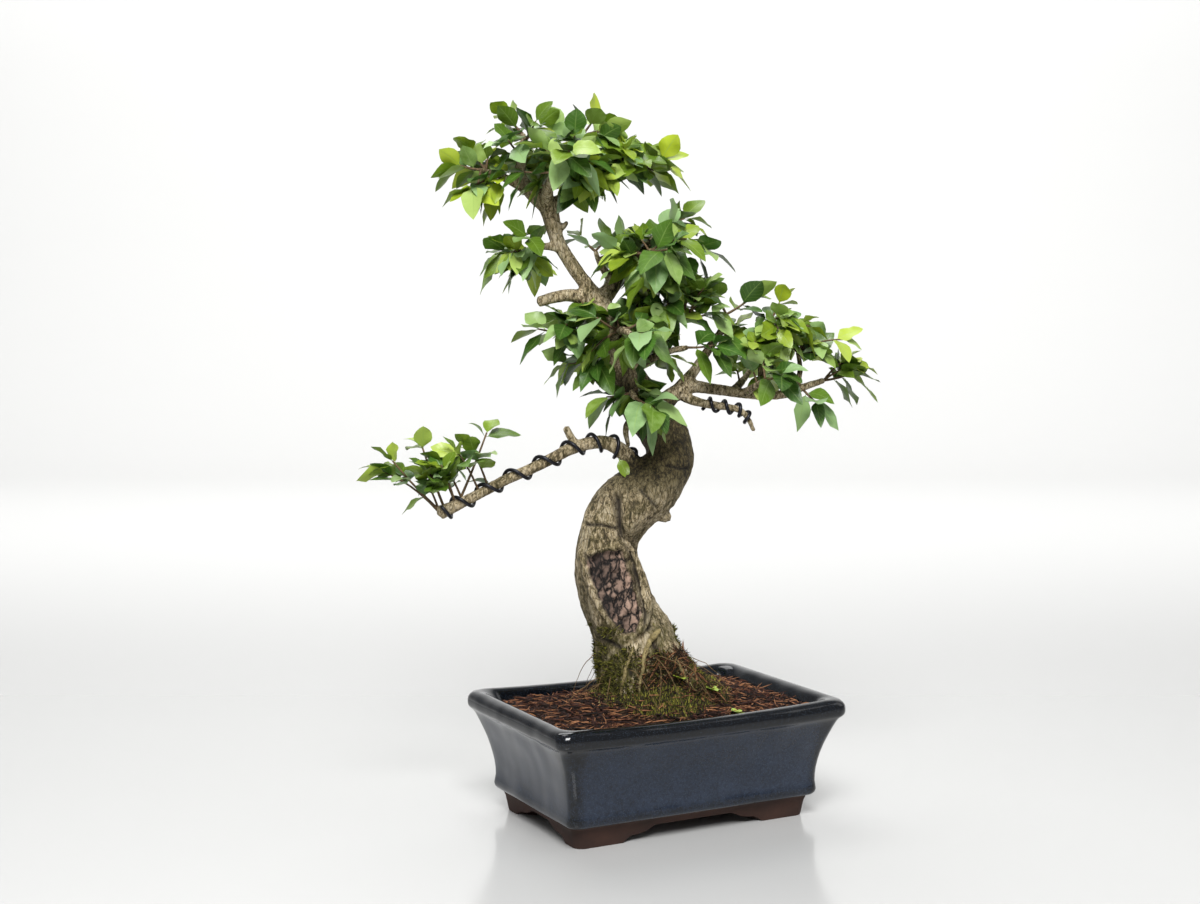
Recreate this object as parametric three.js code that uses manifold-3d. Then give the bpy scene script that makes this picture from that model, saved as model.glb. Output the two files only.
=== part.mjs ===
// A bonsai tree in a glazed pot, in millimetres with +Z up.
// The pot's long side lies along X. The tree is drawn as one sees it from in front:
// across to the right, away to the back and up, and that view is turned about the pot.
import * as THREE from 'three';
import { mergeVertices } from 'three/addons/utils/BufferGeometryUtils.js';
import Module from 'manifold-3d';

const wasm = await Module();
wasm.setup();

// Driving dimensions of the pot
const POT_LENGTH = 266;
const POT_WIDTH = 186;
const FLOOR_TOP = 22;
const RIM_SAG = 2.5;
const FOOT_RECESS = { length: 184, width: 94, corner: 12, top: 13 };
const BRACKET_HEIGHT = 11;
const BRACKET_FRONT_HALF = 64;
const BRACKET_SIDE_HALF = 44;
const DRAIN_OFFSET = 46;
const DRAIN_RADIUS = 9;

// Half section of the pot: inset from the rim's outline, height, corner radius
const POT_SECTION = [
  [27, 0, 8],
  [22, 18, 9],
  [17.5, 20.3, 9],
  [18.5, 29, 8],
  [16.5, 47, 8],
  [11.5, 66.5, 8],
  [6, 81.5, 8],
  [0, 89, 10],
  [1, 96.5, 11],
  [7, 99.5, 11],
  [13, 98, 15],
  [18, 86, 18],
  [25, 48, 16],
  [30, FLOOR_TOP, 12],
];

// Gap between pieces that rest on each other, and the size of a sliver that a join may leave
const GAP = 0.35;
const SLIVER = 0.1;

// Drainage screens over the two holes
const SCREEN_SIZE = 36;
const SCREEN_THICK = 1.2;
const SCREEN_MESH = 13;
const SCREEN_BAR = 3;

// Soil: level at the rim and the mound round the trunk
const SOIL_LEVEL = 90;
const MOUND_HEIGHT = 33;
const MOUND_CENTRE = [6, -6];
const MOUND_SPREAD = [56, 42];
const SOIL_RINGS = [0.92, 0.74, 0.54, 0.34, 0.15];

// Turn of the tree's own view about the pot
const TREE_TURN = THREE.MathUtils.degToRad(-27.7);

// Leaves
const LEAF_THICK = 1.1;
const STALK_SHARE = 0.12;
const LEAF_STATIONS = [0.36, 0.7];
const LEAF_HALF_WIDTH = 0.3;
const LEAF_FOLD = 0.17;
const LEAF_WAVE = 0.13;
const PAIR_SPLAY = 66;
const TIP_SPLAY = 18;
const TURNS_TRIED = [0, 24, -24, 48, -48, 75, -75];
const LEAF_CLEARANCE = 0.3;
const STALK_END = 0.22;
const TWIG_RADIUS = 1.7;
const TWIG_STEPS = 3;

// Routes of the wood in the tree's view: across, away, up, radius
const TRUNK = [
  [-6, 0, 48, 14],
  [-8, 0, 76, 34],
  [-10, 0, 108, 35],
  [-14, -1, 132, 35],
  [-19, -2, 150, 32],
  [-26, -3, 164, 29],
  [-34, -6, 180, 27.5],
  [-38, -8, 196, 27],
  [-40, -9, 212, 26],
  [-39, -9, 228, 24.5],
  [-34, -11, 244, 25],
  [-23, -12, 259, 26],
  [-9, -11, 270, 25.5],
  [4, -6, 282, 22.5],
  [12, 0, 296, 20],
  [10, 6, 311, 19.5],
  [1, 10, 326, 19],
  [-11, 12, 342, 18],
  [-22, 11, 362, 16],
  [-32, 8, 382, 14.5],
  [-39, 4, 402, 13.5],
  [-46, 0, 420, 12],
  [-52, -2, 430, 9],
  [-57, -4, 439, 6.5],
];
const LEADER = [
  [-50, -1, 427, 7],
  [-57, -4, 440, 6],
  [-70, -6, 459, 5.6],
  [-80, -4, 476, 5.8],
  [-85, -2, 494, 7],
  [-88, 0, 508, 9],
];
const LIMBS = {
  trunk: { route: TRUNK, sides: 11, steps: 25, lobed: true },
  leader: { route: LEADER, sides: 6, steps: 6 },
  knob: { route: [[-12, -10, 262, 12], [4, -12, 253, 8], [11, -13, 248, 4]], sides: 6, steps: 2 },
  left: {
    route: [
      [2, -6, 274, 11],
      [-9, -10, 281, 9],
      [-16, -12, 291, 7.6],
      [-23, -14, 300, 6.8],
      [-32, -16, 308, 6],
      [-43, -18, 312, 5.6],
      [-55, -20, 311, 5.3],
      [-69, -23, 307, 5],
      [-85, -27, 299, 4.7],
      [-102, -31, 291, 4.5],
      [-119, -36, 284, 4.3],
      [-135, -41, 276, 4.2],
      [-151, -46, 268, 4.3],
      [-164, -50, 262, 5],
      [-173, -53, 258, 5.7],
    ],
    sides: 6,
    steps: 16,
  },
  left_stub: {
    route: [
      [-62, -21, 306, 4.5],
      [-68, -22, 315, 3.2],
      [-73, -23, 324, 2.8],
    ],
    sides: 5,
    steps: 2,
  },
  right: {
    route: [
      [-10, 12, 330, 10],
      [-1, 12, 337, 8.4],
      [8, 13, 344, 7.4],
      [20, 14, 352, 6.6],
      [31, 16, 356, 5.6],
      [48, 20, 354, 4.8],
      [68, 25, 351, 4.4],
      [91, 31, 348, 4],
      [112, 37, 349, 3.6],
      [129, 42, 355, 3.1],
      [145, 46, 360, 2.4],
    ],
    sides: 6,
    steps: 11,
  },
  right_low: {
    route: [
      [20, 14, 351, 5],
      [31, 11, 345, 4.2],
      [43, 8, 342, 3.5],
      [57, 5, 340, 3],
      [70, 4, 337, 2.7],
      [77, 4, 330, 2.2],
      [82, 4, 320, 1.8],
    ],
    sides: 5,
    steps: 8,
  },
  dead_twig: {
    route: [
      [-18, 4, 332, 4],
      [-24, -6, 322, 2.6],
      [-22, -8, 308, 1.8],
    ],
    sides: 5,
    steps: 2,
  },
  stub_left: {
    route: [
      [-47, 0, 424, 8],
      [-66, -6, 431, 5.6],
      [-81, -12, 430, 4.8],
      [-95, -16, 426, 4.4],
    ],
    sides: 6,
    steps: 4,
  },
  leader_nub: {
    route: [
      [-84, -3, 484, 5],
      [-76, -4, 487, 2.6],
      [-72, -4, 491, 1.8],
    ],
    sides: 5,
    steps: 2,
  },

  // Branches of the crown
  crown_left: {
    route: [
      [-87, 0, 504, 8],
      [-101, -4, 515, 6.2],
      [-110, -8, 528, 5],
      [-108, -10, 543, 4],
      [-107, -8, 554, 3],
      [-108, -6, 562, 2.2],
    ],
    sides: 5,
    steps: 5,
  },
  crown_far: {
    route: [
      [-102, -5, 516, 5],
      [-122, -12, 526, 3.4],
      [-133, -15, 530, 2.6],
      [-141, -16, 532, 2],
    ],
    sides: 4,
    steps: 3,
  },
  crown_right: {
    route: [
      [-87, 0, 502, 8],
      [-73, 5, 511, 6],
      [-62, 9, 522, 5],
      [-50, 12, 530, 3.8],
      [-30, 15, 532, 2.8],
      [-13, 17, 536, 2],
    ],
    sides: 5,
    steps: 6,
  },
  crown_top: {
    route: [
      [-66, 8, 517, 4.5],
      [-71, 2, 535, 3.4],
      [-67, -4, 548, 2.8],
      [-62, -6, 558, 2.2],
    ],
    sides: 4,
    steps: 3,
  },
  crown_back: {
    route: [
      [-87, 1, 505, 7],
      [-92, 20, 519, 4.5],
      [-98, 38, 530, 3.4],
      [-96, 52, 541, 2.4],
    ],
    sides: 4,
    steps: 3,
  },
  crown_front: {
    route: [
      [-89, -2, 505, 7],
      [-87, -20, 518, 4.2],
      [-81, -34, 528, 3.2],
      [-75, -44, 538, 2.4],
    ],
    sides: 4,
    steps: 3,
  },
  crown_rear: {
    route: [
      [-60, 10, 524, 4.5],
      [-44, 30, 533, 3],
      [-32, 44, 541, 2.2],
    ],
    sides: 4,
    steps: 3,
  },

  // Branches below the crown
  high_left: {
    route: [
      [-79, -4, 471, 4.6],
      [-90, -8, 471, 3],
      [-99, -12, 470, 2.4],
      [-107, -14, 467, 1.9],
    ],
    sides: 4,
    steps: 3,
  },
  high_right: {
    route: [
      [-48, 1, 422, 9],
      [-34, 8, 440, 6.4],
      [-18, 13, 457, 5.2],
      [-6, 16, 471, 4],
      [2, 18, 481, 3],
      [6, 20, 489, 2.6],
    ],
    sides: 5,
    steps: 5,
  },
  high_front: {
    route: [
      [-17, 13, 458, 4.6],
      [-10, -6, 462, 3.2],
      [-4, -24, 467, 2.4],
    ],
    sides: 4,
    steps: 3,
  },
  high_side: {
    route: [
      [-10, 15, 467, 4.2],
      [8, 19, 470, 3.2],
      [24, 23, 471, 2.4],
    ],
    sides: 4,
    steps: 3,
  },
  high_back: {
    route: [
      [-22, 11, 453, 4.6],
      [-16, 34, 462, 3],
      [-8, 50, 468, 2.2],
    ],
    sides: 4,
    steps: 3,
  },
  high_inner: {
    route: [
      [-33, 8, 441, 4.6],
      [-44, -2, 455, 2.8],
      [-49, -10, 467, 2],
    ],
    sides: 4,
    steps: 3,
  },
  mid_left: {
    route: [
      [-37, 4, 396, 7],
      [-52, -4, 398, 4],
      [-66, -9, 402, 3],
      [-78, -13, 402, 2.2],
    ],
    sides: 4,
    steps: 3,
  },
  mid_low: {
    route: [
      [-27, 9, 378, 6],
      [-42, 2, 377, 3.4],
      [-50, -2, 378, 2.6],
      [-57, -4, 378, 2],
    ],
    sides: 4,
    steps: 3,
  },
  mid_front: {
    route: [
      [-37, 3, 396, 7],
      [-33, -18, 401, 3.8],
      [-27, -34, 403, 3],
      [-21, -46, 401, 2.2],
    ],
    sides: 4,
    steps: 3,
  },
  mid_right: {
    route: [
      [-40, 4, 402, 7],
      [-20, 8, 415, 4.4],
      [2, 10, 418, 3.6],
      [18, 8, 416, 2.8],
      [27, 5, 413, 2.2],
    ],
    sides: 5,
    steps: 5,
  },
  mid_side: {
    route: [
      [-23, 10, 366, 6],
      [-6, 2, 378, 3.6],
      [12, -6, 386, 2.8],
      [26, -11, 389, 2.2],
    ],
    sides: 4,
    steps: 3,
  },
  mid_back: {
    route: [
      [-30, 9, 380, 7],
      [-27, 28, 391, 4],
      [-19, 46, 396, 3],
      [-11, 58, 398, 2.2],
    ],
    sides: 4,
    steps: 3,
  },
  low_front: {
    route: [
      [-13, 9, 344, 7],
      [-17, -12, 351, 3.8],
      [-19, -26, 352, 3],
      [-17, -36, 349, 2.2],
    ],
    sides: 4,
    steps: 3,
  },

  // Branches of the right-hand pad
  pad_up: {
    route: [
      [18, 14, 351, 6],
      [34, 18, 370, 4.4],
      [46, 20, 388, 3.8],
      [56, 22, 403, 3],
      [60, 22, 416, 2.4],
    ],
    sides: 5,
    steps: 5,
  },
  pad_mid: {
    route: [
      [92, 31, 348, 3.8],
      [90, 30, 370, 2.8],
      [92, 28, 392, 2.2],
      [96, 27, 408, 1.8],
    ],
    sides: 4,
    steps: 3,
  },
  pad_back: { route: [[66, 25, 351, 4], [76, 46, 360, 3], [84, 64, 368, 2.2]], sides: 4, steps: 3 },
  pad_front: {
    route: [
      [76, 27, 350, 4],
      [84, 8, 357, 2.8],
      [90, -8, 362, 2.2],
    ],
    sides: 4,
    steps: 3,
  },
  pad_twig: {
    route: [
      [118, 39, 350, 3.4],
      [124, 41, 368, 2.4],
      [122, 41, 384, 1.8],
    ],
    sides: 4,
    steps: 3,
  },

  // Rolled lips on both sides of the old wound
  lip_left: {
    route: [
      [-51, -30, 236, 3],
      [-53, -32, 214, 4.5],
      [-49, -31, 196, 5],
      [-42, -30, 178, 5],
      [-31, -31, 162, 3],
    ],
    sides: 4,
    steps: 5,
  },
  lip_right: {
    route: [
      [-27, -33, 236, 3],
      [-19, -28, 218, 5],
      [-12, -26, 198, 6],
      [-8, -27, 178, 6],
      [-12, -33, 158, 3.5],
    ],
    sides: 4,
    steps: 5,
  },

  // Surface roots that spread from the foot of the trunk into the soil
  root_right: {
    route: [
      [-8, -6, 146, 20],
      [6, -12, 134, 17],
      [22, -18, 119, 13],
      [38, -22, 105, 10],
      [54, -26, 92, 7],
      [68, -30, 78, 3],
    ],
    sides: 7,
    steps: 6,
  },
  root_front_right: {
    route: [
      [-8, -8, 124, 16],
      [6, -27, 103, 10],
      [15, -40, 90, 7],
      [24, -52, 76, 3],
    ],
    sides: 5,
    steps: 4,
  },
  root_front: {
    route: [
      [-14, -10, 128, 15],
      [-16, -30, 106, 8.5],
      [-15, -41, 92, 6],
      [-12, -52, 76, 3],
    ],
    sides: 5,
    steps: 4,
  },
  root_front_left: {
    route: [
      [-18, -8, 124, 15],
      [-33, -23, 103, 9],
      [-42, -30, 88, 6],
      [-51, -38, 74, 3],
    ],
    sides: 5,
    steps: 4,
  },
  root_left: {
    route: [
      [-16, 0, 120, 17],
      [-36, 2, 101, 10],
      [-49, 4, 86, 6],
      [-60, 6, 72, 3],
    ],
    sides: 5,
    steps: 4,
  },
  root_back_left: {
    route: [
      [-14, 6, 120, 15],
      [-29, 25, 100, 9],
      [-38, 36, 85, 5.5],
      [-47, 47, 71, 3],
    ],
    sides: 5,
    steps: 4,
  },
  root_back: {
    route: [
      [-8, 6, 120, 16],
      [2, 27, 101, 10],
      [8, 40, 86, 6],
      [13, 52, 71, 3],
    ],
    sides: 5,
    steps: 4,
  },
};

// The old wound hollowed out of the front of the trunk
const WOUND = [
  [-38, -46, 238, 12],
  [-37, -50, 224, 17],
  [-33, -51, 206, 20],
  [-29, -50, 188, 20],
  [-23, -48, 172, 17],
  [-18, -44, 160, 11],
];

// Training wires: limb, share of it where the wire starts and ends, turns, first angle in degrees
const WIRE_RADIUS = 1.5;
const WIRES = {
  wire_left: { limb: 'left', from: 0.2, to: 0.985, turns: 8, start: 310 },
  wire_right: { limb: 'right_low', from: 0.3, to: 0.86, turns: 4, start: 200 },
};

// Leafy sprays: limb, share of it, heading and rise in degrees, length, pairs, leaf length, youth
// Heading 0 points to the right, 90 away and -90 to the viewer
const SPRAYS = [
  ['crown_left', 1, 150, 40, 20, 3, 25, 0.9],
  ['crown_left', 0.84, 50, 30, 22, 2, 28, 0.3],
  ['crown_left', 0.6, -115, 18, 26, 3, 30, 0.1],
  ['crown_left', 0.82, -60, 30, 24, 3, 28, 0.2],
  ['crown_far', 1, 172, 6, 18, 3, 26, 0.9],
  ['crown_far', 0.82, 140, 44, 20, 2, 26, 0.7],
  ['crown_far', 0.55, 215, -32, 26, 2, 29, 0.2],
  ['crown_top', 1, 20, 48, 20, 3, 29, 0.7],
  ['crown_top', 0.62, -85, 20, 26, 3, 30, 0.2],
  ['crown_top', 0.78, 120, 26, 24, 2, 29, 0.3],
  ['crown_right', 1, -8, 14, 20, 3, 30, 1],
  ['crown_right', 0.8, -55, 14, 24, 3, 28, 0.5],
  ['crown_right', 0.66, 40, 46, 24, 2, 29, 0.4],
  ['crown_right', 0.42, -80, 2, 26, 3, 30, 0.1],
  ['crown_back', 1, 95, 24, 24, 3, 29, 0.4],
  ['crown_back', 0.6, 185, 14, 26, 2, 29, 0.3],
  ['crown_front', 1, -75, 6, 22, 3, 30, 0.3],
  ['crown_front', 0.7, -165, -8, 26, 2, 30, 0.1],
  ['crown_rear', 1, 50, 14, 24, 3, 29, 0.4],

  ['high_left', 1, 190, -8, 16, 3, 27, 0.2],
  ['high_left', 0.6, -105, 12, 22, 2, 28, 0.1],
  ['high_left', 0.34, 125, 26, 20, 2, 26, 0.4],

  ['high_right', 1, 10, 12, 20, 3, 28, 0.5],
  ['high_right', 0.78, -65, 14, 26, 3, 30, 0.1],
  ['high_front', 1, -60, -6, 24, 3, 30, 0.1],
  ['high_front', 0.5, -160, 6, 24, 2, 29, 0.2],
  ['high_side', 1, -12, -10, 18, 3, 28, 0.2],
  ['high_back', 1, 90, 16, 24, 3, 29, 0.3],
  ['high_inner', 1, 135, 30, 20, 2, 26, 0.6],

  ['mid_left', 1, 185, 0, 18, 3, 27, 0.4],
  ['mid_left', 0.6, -115, 10, 22, 3, 28, 0.1],
  ['mid_low', 1, 200, -14, 16, 2, 26, 0.2],
  ['mid_low', 0.5, -95, -4, 22, 3, 28, 0.1],
  ['mid_front', 1, -55, -6, 22, 3, 30, 0.1],
  ['mid_front', 0.5, -150, 22, 22, 2, 29, 0.2],
  ['mid_right', 1, -6, 4, 20, 3, 28, 0.3],
  ['mid_right', 0.55, -80, 8, 26, 3, 30, 0.1],
  ['mid_side', 1, -22, -2, 22, 3, 29, 0.1],
  ['mid_back', 1, 80, 8, 24, 3, 29, 0.3],
  ['mid_back', 0.55, 160, 16, 26, 2, 29, 0.2],

  ['low_front', 1, -40, -26, 22, 3, 31, 0.1],
  ['low_front', 0.62, 190, -14, 22, 3, 30, 0.1],

  ['pad_up', 1, 15, 26, 24, 3, 29, 0.5],
  ['pad_up', 0.62, -75, 10, 26, 3, 30, 0.2],
  ['pad_mid', 1, 20, 58, 18, 2, 25, 0.8],
  ['pad_back', 1, 70, 16, 24, 2, 29, 0.3],
  ['pad_front', 1, -60, 8, 24, 3, 29, 0.2],
  ['pad_twig', 1, 40, 30, 20, 3, 27, 0.5],
  ['right', 1, 6, 6, 24, 3, 29, 0.5],
  ['right', 0.88, -55, -38, 22, 2, 29, 0.2],

  ['left', 0.965, 160, 66, 50, 3, 26, 0.4],
  ['left', 0.9, 20, 64, 56, 3, 27, 0.3],
  ['left', 0.99, 180, 42, 52, 3, 26, 0.5],
];

// Finishes
const finish = (color, roughness, metalness = 0) =>
  new THREE.MeshStandardMaterial({ color, roughness, metalness });
const GLAZE = finish(0x22303f, 0.2);
const SOIL = finish(0x4a2a1c, 0.95);
const BARK = finish(0x7d6c50, 0.85);
const WIRE = finish(0x16161a, 0.4, 0.7);
const SCREEN = finish(0x1d1f20, 0.6);
const OLD_LEAF = new THREE.Color(0x2f6a3a);
const YOUNG_LEAF = new THREE.Color(0x8fb52a);

// Solids from closed geometries, and geometries from solids
function solid(geometry, weld = 1e-4) {
  const bare = geometry.clone();
  bare.deleteAttribute('normal');
  bare.deleteAttribute('uv');
  const welded = mergeVertices(bare, weld);
  const index = welded.index.array;
  const kept = [];
  for (let i = 0; i < index.length; i += 3) {
    const [a, b, c] = [index[i], index[i + 1], index[i + 2]];
    if (a !== b && b !== c && c !== a) kept.push(a, b, c);
  }
  const vertProperties = Float32Array.from(welded.attributes.position.array);
  return new wasm.Manifold(new wasm.Mesh({ numProp: 3, vertProperties, triVerts: Uint32Array.from(kept) }));
}

// The one body that is kept of a solid, without the slivers and scraps that joins leave
function biggestShell(body) {
  return body.decompose().reduce((best, shell) => (shell.volume() > best.volume() ? shell : best));
}

function largest(body) {
  const smooth = biggestShell(body).simplify(SLIVER);
  return biggestShell(solid(geometryOf(smooth), 1e-3));
}

function geometryOf(body) {
  const mesh = body.getMesh();
  const geometry = new THREE.BufferGeometry();
  geometry.setAttribute('position', new THREE.BufferAttribute(Float32Array.from(mesh.vertProperties), 3));
  geometry.setIndex(new THREE.BufferAttribute(Uint32Array.from(mesh.triVerts), 1));
  return geometry;
}

const box = (sx, sy, sz, x, y, z) => solid(new THREE.BoxGeometry(sx, sy, sz).translate(x, y, z));

// Rounded rectangle as a ring of points: a share of the straight half sides and an angle at the corner
const CORNER_STEPS = 3;
const LONG_SIDE_STEPS = 3;
function quadrant() {
  const ring = [{ alongX: 1, alongY: 0, angle: 0 }];
  for (let i = 0; i <= CORNER_STEPS; i += 1) {
    ring.push({ alongX: 1, alongY: 1, angle: (Math.PI / 2) * (i / CORNER_STEPS) });
  }
  for (let i = 1; i < LONG_SIDE_STEPS; i += 1) {
    ring.push({ alongX: 1 - i / LONG_SIDE_STEPS, alongY: 1, angle: Math.PI / 2 });
  }
  return ring;
}

function outline() {
  const first = quadrant();
  const second = first.slice(1).map((p) => (
    { alongX: -p.alongX, alongY: p.alongY, angle: Math.PI - p.angle }
  ));
  const top = { alongX: 0, alongY: 1, angle: Math.PI / 2 };
  const half = [...first, top, ...second.reverse()];
  const turned = half.map((p) => ({ alongX: -p.alongX, alongY: -p.alongY, angle: p.angle + Math.PI }));
  return [...half, ...turned];
}
const OUTLINE = outline();

function ringPoint(p, inset, z, corner) {
  const halfX = POT_LENGTH / 2 - inset - corner;
  const halfY = POT_WIDTH / 2 - inset - corner;
  const x = p.alongX * halfX + corner * Math.cos(p.angle);
  const y = p.alongY * halfY + corner * Math.sin(p.angle);
  const share = THREE.MathUtils.clamp((z - 54) / 42, 0, 1);
  const sag = RIM_SAG * share * (1 - p.alongX ** 2) * Math.abs(Math.sin(p.angle));
  return new THREE.Vector3(x, y, z - sag);
}

// A lathe whose rings are pulled out to the pot's rounded rectangle; both ends close on the axis
function bentLathe(rows, place) {
  const profile = rows.map((row, i) => new THREE.Vector2(1, i));
  const lathe = new THREE.LatheGeometry(profile, OUTLINE.length);
  const position = lathe.attributes.position;
  for (let i = 0; i < position.count; i += 1) {
    const row = i % rows.length;
    const p = OUTLINE[Math.floor(i / rows.length) % OUTLINE.length];
    const q = place(p, rows[row]);
    position.setXYZ(i, q.x, q.y, q.z);
  }
  return solid(lathe);
}

function bracket(half, length) {
  const shape = new THREE.Shape();
  shape.moveTo(-half, -2);
  shape.lineTo(-half, 0);
  shape.quadraticCurveTo(-half + 3, 6, -half + 14, 5.6);
  shape.quadraticCurveTo(-half + 22, 6.4, -half + 28, BRACKET_HEIGHT);
  shape.lineTo(half - 28, BRACKET_HEIGHT);
  shape.quadraticCurveTo(half - 22, 6.4, half - 14, 5.6);
  shape.quadraticCurveTo(half - 3, 6, half, 0);
  shape.lineTo(half, -2);
  const settings = { depth: length, bevelEnabled: false, curveSegments: 2 };
  const geometry = new THREE.ExtrudeGeometry(shape, settings);
  return geometry.translate(0, 0, -length / 2).rotateX(Math.PI / 2);
}

function drainHole(side) {
  const hole = new THREE.CylinderGeometry(DRAIN_RADIUS, DRAIN_RADIUS, 40, 12);
  return solid(hole.rotateX(Math.PI / 2).translate(side * DRAIN_OFFSET, 0, FLOOR_TOP));
}

function pot() {
  const rows = [[null, 0, 0], ...POT_SECTION, [null, FLOOR_TOP, 0]];
  let body = bentLathe(rows, (p, [inset, z, corner]) => {
    if (inset === null) return new THREE.Vector3(0, 0, z);
    return ringPoint(p, inset, z, corner);
  });
  const { length, width, corner, top } = FOOT_RECESS;
  const shape = new THREE.Shape();
  OUTLINE.forEach((p, i) => {
    const x = p.alongX * (length / 2 - corner) + corner * Math.cos(p.angle);
    const y = p.alongY * (width / 2 - corner) + corner * Math.sin(p.angle);
    if (i === 0) shape.moveTo(x, y);
    else shape.lineTo(x, y);
  });
  const recess = new THREE.ExtrudeGeometry(shape, { depth: top + 2, bevelEnabled: false });
  recess.translate(0, 0, -2);
  body = body.subtract(solid(recess));
  body = body.subtract(solid(bracket(BRACKET_FRONT_HALF, 300)));
  body = body.subtract(solid(bracket(BRACKET_SIDE_HALF, 400).rotateZ(Math.PI / 2)));
  return largest(body.subtract(drainHole(1)).subtract(drainHole(-1)));
}

function screen(side) {
  const z = FLOOR_TOP + GAP + SCREEN_THICK / 2;
  let body = box(SCREEN_SIZE, SCREEN_SIZE, SCREEN_THICK, side * DRAIN_OFFSET, 0, z);
  const step = (SCREEN_MESH + SCREEN_BAR) / 2;
  for (const i of [-1, 1]) {
    for (const j of [-1, 1]) {
      body = body.subtract(box(SCREEN_MESH, SCREEN_MESH, 4, side * DRAIN_OFFSET + i * step, j * step, z));
    }
  }
  return body;
}

// Places and directions in the tree's view
const UP = new THREE.Vector3(0, 0, 1);
const viewPoint = (across, away, up) => new THREE.Vector3(across, away, up).applyAxisAngle(UP, TREE_TURN);

function viewDirection(headingDeg, riseDeg) {
  const heading = THREE.MathUtils.degToRad(headingDeg);
  const rise = THREE.MathUtils.degToRad(riseDeg);
  const flat = Math.cos(rise);
  return viewPoint(Math.cos(heading) * flat, Math.sin(heading) * flat, Math.sin(rise));
}

// A closed round bar through a list of centres, with a radius and a carried frame at each
function bar(centres, radii, sides, shapeAt = () => 1) {
  const count = centres.length;
  const tangents = centres.map((c, i) => {
    const next = centres[Math.min(i + 1, count - 1)];
    const last = centres[Math.max(i - 1, 0)];
    return next.clone().sub(last).normalize();
  });
  const helper = Math.abs(tangents[0].y) < 0.8 ? new THREE.Vector3(0, 1, 0) : new THREE.Vector3(1, 0, 0);
  let normal = helper;
  const normals = tangents.map((t) => {
    normal = normal.clone().addScaledVector(t, -normal.dot(t)).normalize();
    return normal;
  });
  const tube = new THREE.CylinderGeometry(1, 1, count - 1, sides, count - 1);
  const position = tube.attributes.position;
  for (let i = 0; i < position.count; i += 1) {
    const row = Math.round(position.getY(i) + (count - 1) / 2);
    const x = position.getX(i);
    const z = position.getZ(i);
    const side = new THREE.Vector3().crossVectors(normals[row], tangents[row]);
    const reach = radii[row] * shapeAt(Math.atan2(z, x), row / (count - 1));
    const q = centres[row].clone().addScaledVector(normals[row], x * reach).addScaledVector(side, z * reach);
    position.setXYZ(i, q.x, q.y, q.z);
  }
  return solid(tube);
}

// A smooth route through the rows of a limb
function routeOf(limb) {
  const places = limb.route.map(([across, away, up]) => viewPoint(across, away, up));
  const radii = limb.route.map((row) => new THREE.Vector3(row[3], 0, 0));
  const centre = new THREE.CatmullRomCurve3(places, false, 'catmullrom');
  const radius = new THREE.CatmullRomCurve3(radii, false, 'catmullrom');
  return { at: (t) => centre.getPoint(t), radiusAt: (t) => radius.getPoint(t).x };
}

const trunkLobes = (angle, t) =>
  1 + (1 - t) * (0.07 * Math.cos(3 * angle + 5 * t) + 0.04 * Math.cos(5 * angle - 9 * t));

function limbSolid(limb, grow = 0) {
  const route = routeOf(limb);
  const centres = [];
  const radii = [];
  for (let i = 0; i <= limb.steps; i += 1) {
    centres.push(route.at(i / limb.steps));
    radii.push(route.radiusAt(i / limb.steps) + grow);
  }
  return bar(centres, radii, limb.sides, limb.lobed ? trunkLobes : undefined);
}

function treeWood(grow = 0) {
  const limbs = Object.values(LIMBS).map((limb) => limbSolid(limb, grow));
  const [trunk, ...others] = limbs;
  const wound = limbSolid({ route: WOUND, sides: 9, steps: 6 }, -grow);
  let body = trunk.subtract(wound);
  for (const limb of others) body = body.add(limb);
  return largest(body);
}

// Soil: crumbs and the mound round the trunk are worked out by formulas
function soilHeight(x, y) {
  const acrossMound = (x - MOUND_CENTRE[0]) / MOUND_SPREAD[0];
  const alongMound = (y - MOUND_CENTRE[1]) / MOUND_SPREAD[1];
  const mound = Math.exp(-(acrossMound ** 2) - alongMound ** 2);
  const crumbs = Math.sin(x * 0.31 + 1) * Math.cos(y * 0.27) + 0.7 * Math.sin(x * 0.13 - y * 0.19);
  return SOIL_LEVEL + MOUND_HEIGHT * mound + 0.9 * crumbs;
}

function soil(cutters) {
  const side = (inset, z, corner) => ({ inset: inset + GAP + 0.1, z, corner });
  const rows = [
    { centre: FLOOR_TOP + GAP },
    { ...side(30, FLOOR_TOP + GAP, 12) },
    { ...side(25, 48, 16) },
    { ...side(18.4, 84.2, 18) },
    ...SOIL_RINGS.map((share) => ({ share })),
    { centre: null },
  ];
  const edge = side(18.4, 84.2, 18);
  let body = bentLathe(rows, (p, row) => {
    if (row.centre === null) return new THREE.Vector3(0, 0, soilHeight(0, 0));
    if (row.centre !== undefined) return new THREE.Vector3(0, 0, row.centre);
    if (row.share === undefined) return ringPoint(p, row.inset, row.z, row.corner);
    const q = ringPoint(p, edge.inset, edge.z, edge.corner);
    return new THREE.Vector3(q.x * row.share, q.y * row.share, soilHeight(q.x * row.share, q.y * row.share));
  });
  for (const cutter of cutters) body = body.subtract(cutter);
  return largest(body);
}

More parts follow.
